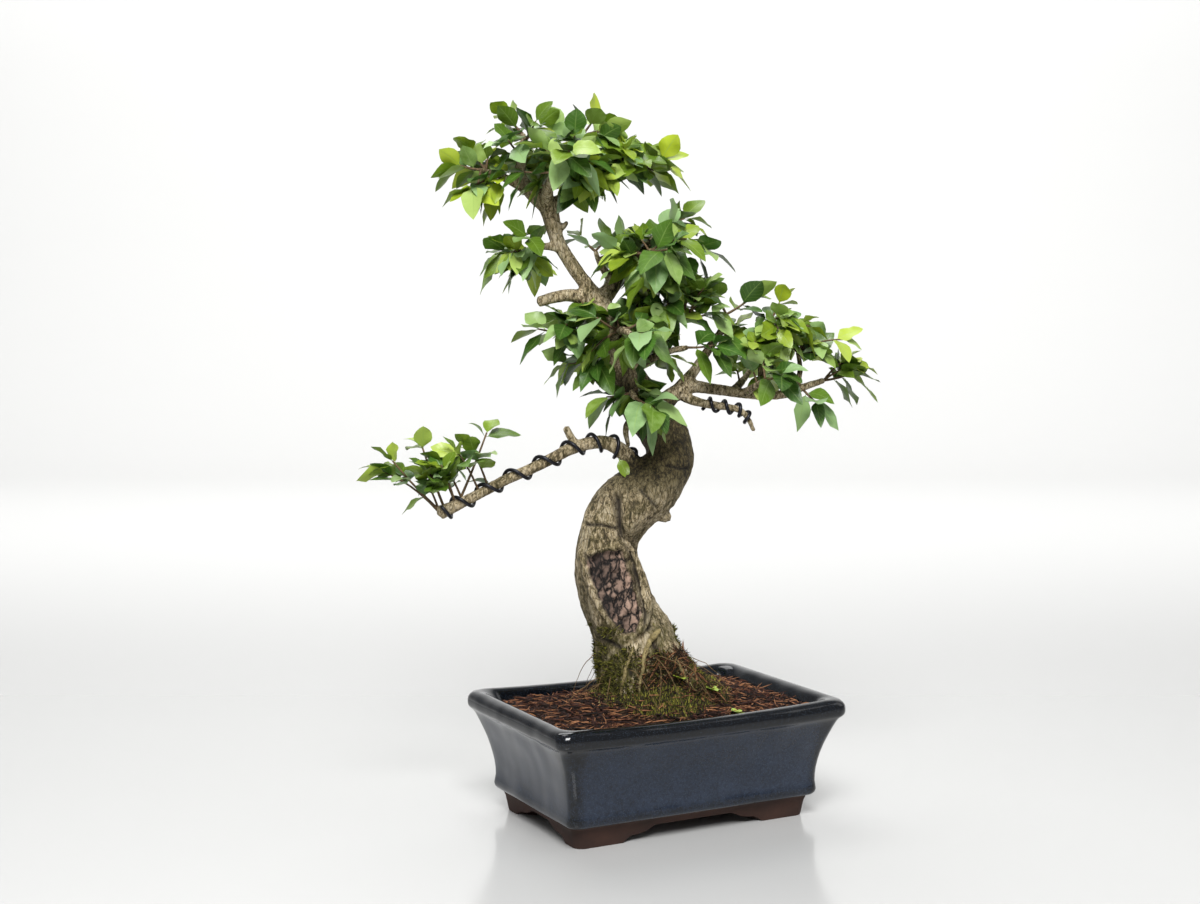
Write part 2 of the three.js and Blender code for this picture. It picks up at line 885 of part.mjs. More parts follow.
// A training wire wound round a limb
function wireSolid({ limb, from, to, turns, start }) {
  const perTurn = 8;
  const route = routeOf(LIMBS[limb]);
  const steps = Math.round(turns * perTurn);
  const reach = (t) => (route.radiusAt(t) + GAP + WIRE_RADIUS) / Math.cos(Math.PI / perTurn);
  const centres = [];
  const radii = [];
  let normal = new THREE.Vector3(0, 0, 1);
  for (let i = 0; i <= steps; i += 1) {
    const t = from + ((to - from) * i) / steps;
    const tangent = route.at(Math.min(t + 0.01, 1)).sub(route.at(t - 0.01)).normalize();
    normal = normal.clone().addScaledVector(tangent, -normal.dot(tangent)).normalize();
    const side = new THREE.Vector3().crossVectors(tangent, normal);
    const angle = THREE.MathUtils.degToRad(start) + (i / perTurn) * Math.PI * 2;
    const out = normal.clone().multiplyScalar(Math.cos(angle)).addScaledVector(side, Math.sin(angle));
    centres.push(route.at(t).addScaledVector(out, reach(t)));
    radii.push(WIRE_RADIUS);
  }
  return bar(centres, radii, 4);
}

// Seeded draws between 0 and 1
function draws(seed) {
  let state = seed >>> 0;
  return () => {
    state = (Math.imul(state, 1664525) + 1013904223) >>> 0;
    return state / 4294967296;
  };
}

// Half width of a leaf at a share of its length, for a half width of 1
function leafWidth(s) {
  const blade = Math.max((s - STALK_SHARE) / (1 - STALK_SHARE), 0);
  return 2.94 * blade ** 0.62 * (1 - blade);
}

// A leaf: folded and waved, thickest along its rib, pointed at the tip and inside the twig.
// The upper and lower face are split alike: corners 0 to 5 go round the edge, 6 and 7 lie on the rib.
const LEAF_FACES = [[0, 1, 6], [1, 2, 7], [1, 7, 6], [2, 3, 7], [3, 4, 7], [4, 5, 7], [5, 6, 7], [5, 0, 6]];

function leafSolid(leaf, rootShare = 0, grow = 0) {
  const { root, along, side, normal, length, droop, wave, phase } = leaf;
  const straight = (s) => root.clone().addScaledVector(along, length * s);
  const midrib = (s) => straight(s).addScaledVector(UP, -droop * length * s * s);
  const edge = (s, sign) => {
    const half = LEAF_HALF_WIDTH * length * leafWidth(s);
    const lift = half * (LEAF_FOLD + wave * Math.sin(9 * s + phase + sign));
    return midrib(s).addScaledVector(side, sign * (half + grow)).addScaledVector(normal, lift);
  };
  const rib = (s, sign) => midrib(s).addScaledVector(normal, sign * (LEAF_THICK / 2 + grow));
  const [low, high] = LEAF_STATIONS;
  const tip = midrib(1 + grow / length);
  const around = [midrib(rootShare), edge(low, 1), edge(high, 1), tip, edge(high, -1), edge(low, -1)];
  const points = [...around, rib(low, 1), rib(high, 1), rib(low, -1), rib(high, -1)];
  const lower = (corner) => (corner > 5 ? corner + 2 : corner);
  const index = [];
  for (const [a, b, c] of LEAF_FACES) {
    index.push(a, b, c, lower(a), lower(c), lower(b));
  }
  const geometry = new THREE.BufferGeometry().setFromPoints(points);
  geometry.setIndex(index);
  return solid(geometry);
}

// The twig of a spray rises a little towards its tip
function sprayTwig([limb, share, heading, rise, length]) {
  const start = routeOf(LIMBS[limb]).at(share);
  const along = viewDirection(heading, rise);
  const straight = (s) => start.clone().addScaledVector(along, length * s);
  const at = (s) => straight(s).addScaledVector(UP, 0.12 * length * s * s);
  return { at, along, length };
}

// Leaves stand in crossed pairs up the twig and one ends it; each draw is made whether or not it is used
function sprayLeaves(row, number) {
  const [, , , , , pairs, size, youth] = row;
  const twig = sprayTwig(row);
  const draw = draws(7919 * (number + 1));
  const leaves = [];
  const firstTurn = draw() * 90;
  for (let station = 0; station <= pairs; station += 1) {
    const last = station === pairs;
    const s = last ? 1 : 0.34 + (0.62 * station) / (pairs - 1);
    for (const half of last ? [0] : [0, 180]) {
      const turn = firstTurn + 90 * station + half + (draw() - 0.5) * 40;
      const splay = (last ? TIP_SPLAY : PAIR_SPLAY - 20 * s) + (draw() - 0.5) * 24;
      const length = size * (0.8 + 0.35 * draw()) * (last ? 0.85 : 1);
      const droop = (0.5 - 0.35 * youth) * (0.3 + draw());
      const roll = (draw() - 0.5) * 60;
      const phase = draw() * 6;
      leaves.push({ root: twig.at(s * 0.985), axis: twig.along, turn, splay, length, droop, roll, phase });
    }
  }
  return leaves;
}

// A drawn leaf turned about its twig by an extra angle
function turnedLeaf(drawn, extra) {
  const { root, axis, length, droop, phase } = drawn;
  const angle = THREE.MathUtils.degToRad(drawn.turn + extra);
  const splay = THREE.MathUtils.degToRad(drawn.splay);
  const level = new THREE.Vector3().crossVectors(UP, axis).normalize();
  const above = new THREE.Vector3().crossVectors(axis, level);
  const radial = level.clone().multiplyScalar(Math.cos(angle)).addScaledVector(above, Math.sin(angle));
  const along = axis.clone().multiplyScalar(Math.cos(splay)).addScaledVector(radial, Math.sin(splay));
  const lean = UP.clone().addScaledVector(axis, 0.4).addScaledVector(radial, -0.25);
  const face = lean.addScaledVector(along, -lean.dot(along)).normalize();
  const normal = face.applyAxisAngle(along, THREE.MathUtils.degToRad(drawn.roll));
  const side = new THREE.Vector3().crossVectors(along, normal);
  return { root, along, side, normal, length, droop, phase, wave: LEAF_WAVE };
}

function boxesMeet(a, b) {
  return [0, 1, 2].every((i) => a.min[i] < b.max[i] && b.min[i] < a.max[i]);
}

// Pieces that a new leaf keeps clear of; on its own spray only the blades keep apart, past their stalks
const placed = [];
function keepClearOf(whole, owner, blade = whole) {
  placed.push({ whole, blade, owner, bounds: whole.boundingBox() });
}

function isClear(leaf, owner) {
  const whole = leafSolid(leaf, 0, LEAF_CLEARANCE);
  const blade = leafSolid(leaf, STALK_END, LEAF_CLEARANCE);
  const bounds = whole.boundingBox();
  return placed.every((other) => {
    if (!boxesMeet(bounds, other.bounds)) return true;
    const own = other.owner === owner;
    return (own ? blade.intersect(other.blade) : whole.intersect(other.whole)).isEmpty();
  });
}

function spray(row, number, twig) {
  let body = twig;
  for (const drawn of sprayLeaves(row, number)) {
    const ways = TURNS_TRIED.map((extra) => turnedLeaf(drawn, extra));
    const leaf = ways.find((turned) => isClear(turned, number));
    if (leaf) {
      const whole = leafSolid(leaf);
      keepClearOf(whole, number, leafSolid(leaf, STALK_END));
      body = body.add(whole);
    }
  }
  return largest(body);
}

// Assembly
const plant = new THREE.Group();
function addPiece(name, body, material) {
  const mesh = new THREE.Mesh(geometryOf(body), material);
  mesh.name = name;
  plant.add(mesh);
}

const wood = treeWood();
const woodCutter = treeWood(GAP);
const screens = [screen(-1), screen(1)];
const screenCutters = [-1, 1].map((side) => {
  const size = SCREEN_SIZE + 2 * GAP;
  return box(size, size, 4, side * DRAIN_OFFSET, 0, FLOOR_TOP + 2 * GAP + SCREEN_THICK - 2);
});
addPiece('pot', pot(), GLAZE);
addPiece('drain_screen_left', screens[0], SCREEN);
addPiece('drain_screen_right', screens[1], SCREEN);
addPiece('soil', soil([woodCutter, ...screenCutters]), SOIL);
addPiece('tree_wood', wood, BARK);
keepClearOf(woodCutter, 'wood');
for (const [name, wire] of Object.entries(WIRES)) {
  const body = wireSolid(wire);
  addPiece(name, body, WIRE);
  keepClearOf(body, name);
}

const twigs = SPRAYS.map((row) => {
  const twig = sprayTwig(row);
  const centres = [];
  const radii = [];
  for (let i = 0; i <= TWIG_STEPS; i += 1) {
    centres.push(twig.at(i / TWIG_STEPS));
    radii.push(TWIG_RADIUS * (1 - (0.35 * i) / TWIG_STEPS));
  }
  return largest(bar(centres, radii, 3).subtract(woodCutter));
});
twigs.forEach((twig, i) => keepClearOf(twig, i));
SPRAYS.forEach((row, i) => {
  const color = OLD_LEAF.clone().lerp(YOUNG_LEAF, row[7] * 0.8);
  addPiece(`spray_${String(i + 1).padStart(2, '0')}`, spray(row, i, twigs[i]), finish(color, 0.45));
});

// The frame's origin is below the middle of the whole plant, on the surface it stands on
const bounds = new THREE.Box3().setFromObject(plant);
const middle = bounds.getCenter(new THREE.Vector3());
plant.position.set(-Math.round(middle.x), -Math.round(middle.y), 0);
const bonsai = new THREE.Group();
bonsai.add(plant);

export default bonsai;
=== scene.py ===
"""The look of a bonsai tree in a glazed pot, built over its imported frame."""
import math
import random

import bmesh
import bpy
import numpy as np
from bpy.props import FloatProperty, FloatVectorProperty, IntProperty, PointerProperty
from mathutils import Euler, Matrix, Vector, bvhtree, noise


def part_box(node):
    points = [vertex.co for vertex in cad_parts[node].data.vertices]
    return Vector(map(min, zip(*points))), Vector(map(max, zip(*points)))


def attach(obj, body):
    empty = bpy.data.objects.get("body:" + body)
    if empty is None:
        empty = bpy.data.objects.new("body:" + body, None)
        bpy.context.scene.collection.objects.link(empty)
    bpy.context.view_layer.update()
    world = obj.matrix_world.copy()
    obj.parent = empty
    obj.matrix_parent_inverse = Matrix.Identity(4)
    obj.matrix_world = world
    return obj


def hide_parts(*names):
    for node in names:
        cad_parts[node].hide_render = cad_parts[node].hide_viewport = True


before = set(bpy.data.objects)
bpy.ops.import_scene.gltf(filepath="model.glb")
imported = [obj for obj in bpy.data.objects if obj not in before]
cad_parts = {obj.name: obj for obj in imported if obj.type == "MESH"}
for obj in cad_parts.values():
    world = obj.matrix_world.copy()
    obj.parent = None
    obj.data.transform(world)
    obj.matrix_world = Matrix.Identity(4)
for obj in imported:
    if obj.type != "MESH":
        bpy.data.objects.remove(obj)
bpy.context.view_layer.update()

bl_info = {
    "name": "Bonsai Tree in a Glazed Pot",
    "version": (1, 0, 0),
    "blender": (4, 5, 0),
    "location": "View3D > Sidebar > Bonsai",
    "description": "Builds the pot, soil, wood, wires and foliage of a potted bonsai",
    "category": "Object",
}

MM = 0.001
UP = np.array([0.0, 0.0, 1.0])

# The pot's centre in the frame, and the turn of the tree's own view about it
POT_LOW, POT_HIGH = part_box("pot")
SHIFT = np.array([(POT_LOW.x + POT_HIGH.x) / 2, (POT_LOW.y + POT_HIGH.y) / 2, 0.0])
TREE_TURN = math.radians(-27.7)

# Pot, in millimetres, as in the solid
POT_LENGTH = 266
POT_WIDTH = 186
FLOOR_TOP = 22
RIM_SAG = 2.5
SAG_FROM, SAG_REACH = 54, 42
FOOT_TOP = 18
FOOT_RECESS = {"length": 184, "width": 94, "corner": 12, "top": 13}
BRACKET_FRONT_HALF = 64
BRACKET_SIDE_HALF = 44
BRACKET_EDGE = [(0, 0), (3, 3.6), (7, 5.2), (14, 5.6), (20, 6.9), (24, 8.9), (28, 11)]
DRAIN_OFFSET = 46
DRAIN_RADIUS = 9
DRILL_MIDDLE, DRILL_LENGTH = 17.5, 20

# Ripple of the pot's pressed walls, in millimetres: its heights, its deepest inset, a lump's size
RIPPLE_HEIGHTS = (20, 98)
RIPPLE_INSET = 19
RIPPLE_ACROSS, RIPPLE_UP = 38, 26

# Where the glaze breaks thin, in millimetres: up the rim, on the foot's ledge and at the corners
THIN_RIM = (83, 87)
THIN_LEDGE, LEDGE_REACH = 23, 3
THIN_CORNER = (111, 71)
GLAZE_WAVE = 2.2

# Half section of the pot from its foot over the rim to the floor: inset, height, corner radius
POT_SECTION = [
    (27, 0, 8), (26.4, 2.1, 8), (25.6, 7.5, 8), (24.4, 12.8, 9), (23, 16.7, 9), (21, 18, 9),
    (19, 18.8, 9), (17.7, 20.5, 9), (17.2, 22.9, 9), (17.7, 26.1, 8.6), (18.3, 30, 8),
    (18.1, 35.3, 8), (17.5, 41.7, 8), (16.4, 48.2, 8), (15, 54.6, 8), (13.2, 61, 8), (11.4, 66.3, 8),
    (9.4, 71.7, 8), (7.4, 77, 8), (5.6, 81.3, 8), (3.8, 83.9, 8.6), (2, 85.5, 9.4),
    (0.7, 87.1, 10), (0.1, 89.2, 10.4), (0, 92, 10.6), (0.3, 94.6, 10.8), (1.3, 96.9, 11),
    (3.2, 98.8, 11), (6, 99.6, 11.4), (9, 99.5, 12.4), (11.6, 98.7, 14), (13.4, 96.9, 15.4),
    (15, 93.6, 16.4), (16.6, 89.9, 17.2), (18, 85.6, 18), (20, 76, 17.6), (22.4, 64.2, 17),
    (25, 48.2, 16), (27.6, 35.3, 14), (30, 22, 12),
]
SOIL_LEVEL = 90
MOUND_HEIGHT = 33
MOUND_CENTRE = (6, -6)
MOUND_SPREAD = (56, 42)
GAP = 0.35
SOIL_WALL = [(30.5, FLOOR_TOP + GAP, 12), (25.5, 48, 16), (18.9, 83.2, 18)]
SOIL_RINGS = 46
SOIL_HALF = (113, 73)
SOIL_CORNER = (98, 58)
SOIL_CORNER_RADIUS = 14

# Moss and coir on the wood: the moss's middle in millimetres, heights in metres, shares and counts
MOSS_MIDDLE = (8, -8)
MOSS_HEIGHTS = (0.094, 0.162)
COIR_HEIGHTS = (0.094, 0.14)
TUFTS_ON_BARK = 0.55
ROOT_FIBRES = 1500
ROOT_HAIRS = 34

SEEDS = {"soil": 41, "wood": 3, "moss": 77, "sprays": 5, "shoots": 23}

# Leaves, as in the solids
STALK_SHARE = 0.12
LEAF_HALF_WIDTH = 0.3
LEAF_FOLD = 0.17
LEAF_WAVE = 0.13
PAIR_SPLAY = 66
TIP_SPLAY = 18
TURNS_TRIED = [0, 24, -24, 48, -48, 75, -75]

# Routes of the wood in the tree's view, in millimetres: across, away, up, radius
LIMBS = {
    "trunk": [
        (-6, 0, 48, 14), (-8, 0, 76, 34), (-10, 0, 108, 35), (-14, -1, 132, 35),
        (-19, -2, 150, 32), (-26, -3, 164, 29), (-34, -6, 180, 27.5), (-38, -8, 196, 27),
        (-40, -9, 212, 26), (-39, -9, 228, 24.5), (-34, -11, 244, 25), (-23, -12, 259, 26),
        (-9, -11, 270, 25.5), (4, -6, 282, 22.5), (12, 0, 296, 20), (10, 6, 311, 19.5),
        (1, 10, 326, 19), (-11, 12, 342, 18), (-22, 11, 362, 16), (-32, 8, 382, 14.5),
        (-39, 4, 402, 13.5), (-46, 0, 420, 12), (-52, -2, 430, 9), (-57, -4, 439, 6.5),
    ],
    "leader": [
        (-50, -1, 427, 7), (-57, -4, 440, 6), (-70, -6, 459, 5.6), (-80, -4, 476, 5.8),
        (-85, -2, 494, 7), (-88, 0, 508, 9),
    ],
    "knob": [
        (-12, -10, 262, 12), (4, -12, 253, 8), (11, -13, 248, 4),
    ],
    "left": [
        (2, -6, 274, 11), (-9, -10, 281, 9), (-16, -12, 291, 7.6), (-23, -14, 300, 6.8),
        (-32, -16, 308, 6), (-43, -18, 312, 5.6), (-55, -20, 311, 5.3), (-69, -23, 307, 5),
        (-85, -27, 299, 4.7), (-102, -31, 291, 4.5), (-119, -36, 284, 4.3), (-135, -41, 276, 4.2),
        (-151, -46, 268, 4.3), (-164, -50, 262, 5), (-173, -53, 258, 5.7),
    ],
    "left_stub": [
        (-62, -21, 306, 4.5), (-68, -22, 315, 3.2), (-73, -23, 324, 2.8),
    ],
    "right": [
        (-10, 12, 330, 10), (-1, 12, 337, 8.4), (8, 13, 344, 7.4), (20, 14, 352, 6.6),
        (31, 16, 356, 5.6), (48, 20, 354, 4.8), (68, 25, 351, 4.4), (91, 31, 348, 4),
        (112, 37, 349, 3.6), (129, 42, 355, 3.1), (145, 46, 360, 2.4),
    ],
    "right_low": [
        (20, 14, 351, 5), (31, 11, 345, 4.2), (43, 8, 342, 3.5), (57, 5, 340, 3),
        (70, 4, 337, 2.7), (77, 4, 330, 2.2), (82, 4, 320, 1.8),
    ],
    "dead_twig": [
        (-18, 4, 332, 4), (-24, -6, 322, 2.6), (-22, -8, 308, 1.8),
    ],
    "stub_left": [
        (-47, 0, 424, 8), (-66, -6, 431, 5.6), (-81, -12, 430, 4.8), (-95, -16, 426, 4.4),
    ],
    "leader_nub": [
        (-84, -3, 484, 5), (-76, -4, 487, 2.6), (-72, -4, 491, 1.8),
    ],
    "crown_left": [
        (-87, 0, 504, 8), (-101, -4, 515, 6.2), (-110, -8, 528, 5), (-108, -10, 543, 4),
        (-107, -8, 554, 3), (-108, -6, 562, 2.2),
    ],
    "crown_far": [
        (-102, -5, 516, 5), (-122, -12, 526, 3.4), (-133, -15, 530, 2.6), (-141, -16, 532, 2),
    ],
    "crown_right": [
        (-87, 0, 502, 8), (-73, 5, 511, 6), (-62, 9, 522, 5), (-50, 12, 530, 3.8),
        (-30, 15, 532, 2.8), (-13, 17, 536, 2),
    ],
    "crown_top": [
        (-66, 8, 517, 4.5), (-71, 2, 535, 3.4), (-67, -4, 548, 2.8), (-62, -6, 558, 2.2),
    ],
    "crown_back": [
        (-87, 1, 505, 7), (-92, 20, 519, 4.5), (-98, 38, 530, 3.4), (-96, 52, 541, 2.4),
    ],
    "crown_front": [
        (-89, -2, 505, 7), (-87, -20, 518, 4.2), (-81, -34, 528, 3.2), (-75, -44, 538, 2.4),
    ],
    "crown_rear": [
        (-60, 10, 524, 4.5), (-44, 30, 533, 3), (-32, 44, 541, 2.2),
    ],
    "high_left": [
        (-79, -4, 471, 4.6), (-90, -8, 471, 3), (-99, -12, 470, 2.4), (-107, -14, 467, 1.9),
    ],
    "high_right": [
        (-48, 1, 422, 9), (-34, 8, 440, 6.4), (-18, 13, 457, 5.2), (-6, 16, 471, 4),
        (2, 18, 481, 3), (6, 20, 489, 2.6),
    ],
    "high_front": [
        (-17, 13, 458, 4.6), (-10, -6, 462, 3.2), (-4, -24, 467, 2.4),
    ],
    "high_side": [
        (-10, 15, 467, 4.2), (8, 19, 470, 3.2), (24, 23, 471, 2.4),
    ],
    "high_back": [
        (-22, 11, 453, 4.6), (-16, 34, 462, 3), (-8, 50, 468, 2.2),
    ],
    "high_inner": [
        (-33, 8, 441, 4.6), (-44, -2, 455, 2.8), (-49, -10, 467, 2),
    ],
    "mid_left": [
        (-37, 4, 396, 7), (-52, -4, 398, 4), (-66, -9, 402, 3), (-78, -13, 402, 2.2),
    ],
    "mid_low": [
        (-27, 9, 378, 6), (-42, 2, 377, 3.4), (-50, -2, 378, 2.6), (-57, -4, 378, 2),
    ],
    "mid_front": [
        (-37, 3, 396, 7), (-33, -18, 401, 3.8), (-27, -34, 403, 3), (-21, -46, 401, 2.2),
    ],
    "mid_right": [
        (-40, 4, 402, 7), (-20, 8, 415, 4.4), (2, 10, 418, 3.6), (18, 8, 416, 2.8),
        (27, 5, 413, 2.2),
    ],
    "mid_side": [
        (-23, 10, 366, 6), (-6, 2, 378, 3.6), (12, -6, 386, 2.8), (26, -11, 389, 2.2),
    ],
    "mid_back": [
        (-30, 9, 380, 7), (-27, 28, 391, 4), (-19, 46, 396, 3), (-11, 58, 398, 2.2),
    ],
    "low_front": [
        (-13, 9, 344, 7), (-17, -12, 351, 3.8), (-19, -26, 352, 3), (-17, -36, 349, 2.2),
    ],
    "pad_up": [
        (18, 14, 351, 6), (34, 18, 370, 4.4), (46, 20, 388, 3.8), (56, 22, 403, 3),
        (60, 22, 416, 2.4),
    ],
    "pad_mid": [
        (92, 31, 348, 3.8), (90, 30, 370, 2.8), (92, 28, 392, 2.2), (96, 27, 408, 1.8),
    ],
    "pad_back": [
        (66, 25, 351, 4), (76, 46, 360, 3), (84, 64, 368, 2.2),
    ],
    "pad_front": [
        (76, 27, 350, 4), (84, 8, 357, 2.8), (90, -8, 362, 2.2),
    ],
    "pad_twig": [
        (118, 39, 350, 3.4), (124, 41, 368, 2.4), (122, 41, 384, 1.8),
    ],
    "lip_left": [
        (-51, -30, 236, 3), (-53, -32, 214, 4.5), (-49, -31, 196, 5), (-42, -30, 178, 5),
        (-31, -31, 162, 3),
    ],
    "lip_right": [
        (-27, -33, 236, 3), (-19, -28, 218, 5), (-12, -26, 198, 6), (-8, -27, 178, 6),
        (-12, -33, 158, 3.5),
    ],
    "root_right": [
        (-8, -6, 146, 20), (6, -12, 134, 17), (22, -18, 119, 13), (38, -22, 105, 10),
        (54, -26, 92, 7), (68, -30, 78, 3),
    ],
    "root_front_right": [
        (-8, -8, 124, 16), (6, -27, 103, 10), (15, -40, 90, 7), (24, -52, 76, 3),
    ],
    "root_front": [
        (-14, -10, 128, 15), (-16, -30, 106, 8.5), (-15, -41, 92, 6), (-12, -52, 76, 3),
    ],
    "root_front_left": [
        (-18, -8, 124, 15), (-33, -23, 103, 9), (-42, -30, 88, 6), (-51, -38, 74, 3),
    ],
    "root_left": [
        (-16, 0, 120, 17), (-36, 2, 101, 10), (-49, 4, 86, 6), (-60, 6, 72, 3),
    ],
    "root_back_left": [
        (-14, 6, 120, 15), (-29, 25, 100, 9), (-38, 36, 85, 5.5), (-47, 47, 71, 3),
    ],
    "root_back": [
        (-8, 6, 120, 16), (2, 27, 101, 10), (8, 40, 86, 6), (13, 52, 71, 3),
    ],
}
WOUND = [
    (-38, -46, 238, 12), (-37, -50, 224, 17), (-33, -51, 206, 20), (-29, -50, 188, 20),
    (-23, -48, 172, 17), (-18, -44, 160, 11),
]
SPRAYS = [
    ("crown_left", 1, 150, 40, 20, 3, 25, 0.9),
    ("crown_left", 0.84, 50, 30, 22, 2, 28, 0.3),
    ("crown_left", 0.6, -115, 18, 26, 3, 30, 0.1),
    ("crown_left", 0.82, -60, 30, 24, 3, 28, 0.2),
    ("crown_far", 1, 172, 6, 18, 3, 26, 0.9),
    ("crown_far", 0.82, 140, 44, 20, 2, 26, 0.7),
    ("crown_far", 0.55, 215, -32, 26, 2, 29, 0.2),
    ("crown_top", 1, 20, 48, 20, 3, 29, 0.7),
    ("crown_top", 0.62, -85, 20, 26, 3, 30, 0.2),
    ("crown_top", 0.78, 120, 26, 24, 2, 29, 0.3),
    ("crown_right", 1, -8, 14, 20, 3, 30, 1),
    ("crown_right", 0.8, -55, 14, 24, 3, 28, 0.5),
    ("crown_right", 0.66, 40, 46, 24, 2, 29, 0.4),
    ("crown_right", 0.42, -80, 2, 26, 3, 30, 0.1),
    ("crown_back", 1, 95, 24, 24, 3, 29, 0.4),
    ("crown_back", 0.6, 185, 14, 26, 2, 29, 0.3),
    ("crown_front", 1, -75, 6, 22, 3, 30, 0.3),
    ("crown_front", 0.7, -165, -8, 26, 2, 30, 0.1),
    ("crown_rear", 1, 50, 14, 24, 3, 29, 0.4),
    ("high_left", 1, 190, -8, 16, 3, 27, 0.2),
    ("high_left", 0.6, -105, 12, 22, 2, 28, 0.1),
    ("high_left", 0.34, 125, 26, 20, 2, 26, 0.4),
    ("high_right", 1, 10, 12, 20, 3, 28, 0.5),
    ("high_right", 0.78, -65, 14, 26, 3, 30, 0.1),
    ("high_front", 1, -60, -6, 24, 3, 30, 0.1),
    ("high_front", 0.5, -160, 6, 24, 2, 29, 0.2),
    ("high_side", 1, -12, -10, 18, 3, 28, 0.2),
    ("high_back", 1, 90, 16, 24, 3, 29, 0.3),
    ("high_inner", 1, 135, 30, 20, 2, 26, 0.6),
    ("mid_left", 1, 185, 0, 18, 3, 27, 0.4),
    ("mid_left", 0.6, -115, 10, 22, 3, 28, 0.1),
    ("mid_low", 1, 200, -14, 16, 2, 26, 0.2),
    ("mid_low", 0.5, -95, -4, 22, 3, 28, 0.1),
    ("mid_front", 1, -55, -6, 22, 3, 30, 0.1),
    ("mid_front", 0.5, -150, 22, 22, 2, 29, 0.2),
    ("mid_right", 1, -6, 4, 20, 3, 28, 0.3),
    ("mid_right", 0.55, -80, 8, 26, 3, 30, 0.1),
    ("mid_side", 1, -22, -2, 22, 3, 29, 0.1),
    ("mid_back", 1, 80, 8, 24, 3, 29, 0.3),
    ("mid_back", 0.55, 160, 16, 26, 2, 29, 0.2),
    ("low_front", 1, -40, -26, 22, 3, 31, 0.1),
    ("low_front", 0.62, 190, -14, 22, 3, 30, 0.1),
    ("pad_up", 1, 15, 26, 24, 3, 29, 0.5),
    ("pad_up", 0.62, -75, 10, 26, 3, 30, 0.2),
    ("pad_mid", 1, 20, 58, 18, 2, 25, 0.8),
    ("pad_back", 1, 70, 16, 24, 2, 29, 0.3),
    ("pad_front", 1, -60, 8, 24, 3, 29, 0.2),
    ("pad_twig", 1, 40, 30, 20, 3, 27, 0.5),
    ("right", 1, 6, 6, 24, 3, 29, 0.5),
    ("right", 0.88, -55, -38, 22, 2, 29, 0.2),
    ("left", 0.965, 160, 66, 50, 3, 26, 0.4),
    ("left", 0.9, 20, 64, 56, 3, 27, 0.3),
    ("left", 0.99, 180, 42, 52, 3, 26, 0.5),
]

# Training wires: limb, share of it where the wire starts and ends, turns, first angle in degrees
WIRE_RADIUS = 1.5
WIRES = {
    "wire_left": ("left", 0.2, 0.985, 8, 310),
    "wire_right": ("right_low", 0.3, 0.86, 4, 200),
}

# Creases and cracks of the trunk as the viewer sees them: route across and up, width, depth; the bark
# colour is also darkened along them as painted shade
CREASES = [
    ([(-33, 268), (-32, 256), (-30, 244), (-25, 234), (-21, 226), (-20, 216)], 3.4, 7.5),
    ([(-57, 245), (-45, 246), (-33, 243)], 1.5, 2.4),
    ([(9, 294), (19, 291), (28, 290)], 1.5, 2.2),
    ([(-13, 275), (-5, 267), (1, 260)], 1.4, 1.6),
    ([(-19, 212), (-15, 200), (-11, 188), (-9, 174), (-5, 161)], 3.4, 4.0),
    ([(-44, 150), (-30, 146), (-22, 136), (-20, 124)], 2.6, 3.0),
    ([(-2, 150), (4, 138), (6, 126)], 2.8, 3.2),
]

# Outline of the rotten hollow as the viewer sees it, across and up
HOLLOW = [(-58, 220), (-42, 224), (-27, 226), (-19, 199), (-12, 174), (-16, 158), (-27, 156),
          (-39, 172), (-48, 190), (-55, 206)]

# Foliage masses that more shoots fill: centre and half size across, away, up; shoots; youth
MASSES = {
    "crown": ((-78, 0, 545), (72, 42, 32), 38, 0.62),
    "crown_left": ((-142, -14, 530), (20, 18, 20), 7, 0.8),
    "crown_right": ((-12, 14, 540), (22, 22, 18), 7, 0.9),
    "high_left": ((-104, -12, 459), (24, 18, 22), 8, 0.5),
    "high_right": ((-4, 2, 468), (44, 38, 32), 30, 0.45),
    "middle_right": ((22, 6, 424), (44, 38, 26), 20, 0.4),
    "middle": ((-34, -2, 398), (58, 44, 28), 28, 0.45),
    "low_front": ((-14, -26, 350), (30, 20, 15), 8, 0.3),
    "pad": ((98, 26, 390), (62, 34, 28), 30, 0.55),
    "pad_tip": ((160, 44, 370), (20, 16, 14), 3, 0.7),
    "branch": ((-180, -50, 298), (46, 14, 28), 8, 0.5),
}


def rgb(code):
    """Linear colour of an sRGB hex value."""
    parts = [int(code[i:i + 2], 16) / 255 for i in (1, 3, 5)]
    return tuple(c / 12.92 if c <= 0.04045 else ((c + 0.055) / 1.055) ** 2.4 for c in parts)


def colour_property(name, code, words):
    return FloatVectorProperty(name=name, description=words, default=rgb(code), size=3,
                               min=0, max=1, subtype="COLOR")


def length_property(name, millimetres, words):
    return FloatProperty(name=name, description=words, default=millimetres * MM, min=0,
                         unit="LENGTH", subtype="DISTANCE", precision=5)


class PotSettings(bpy.types.PropertyGroup):
    """Sizes and colours of the pot."""
    glaze_dark: colour_property("Dark glaze", "#06080d", "Glaze where it breaks thin")
    glaze_blue: colour_property("Blue glaze", "#242e3f", "Glaze where it pools thick")
    clay: colour_property("Clay", "#3c2318", "Fired clay of the bare foot")
    glaze_line: length_property("Glaze line", 18.4, "Height where the glaze ends")
    ripple: length_property("Ripple", 0.7, "Unevenness of the pressed walls")


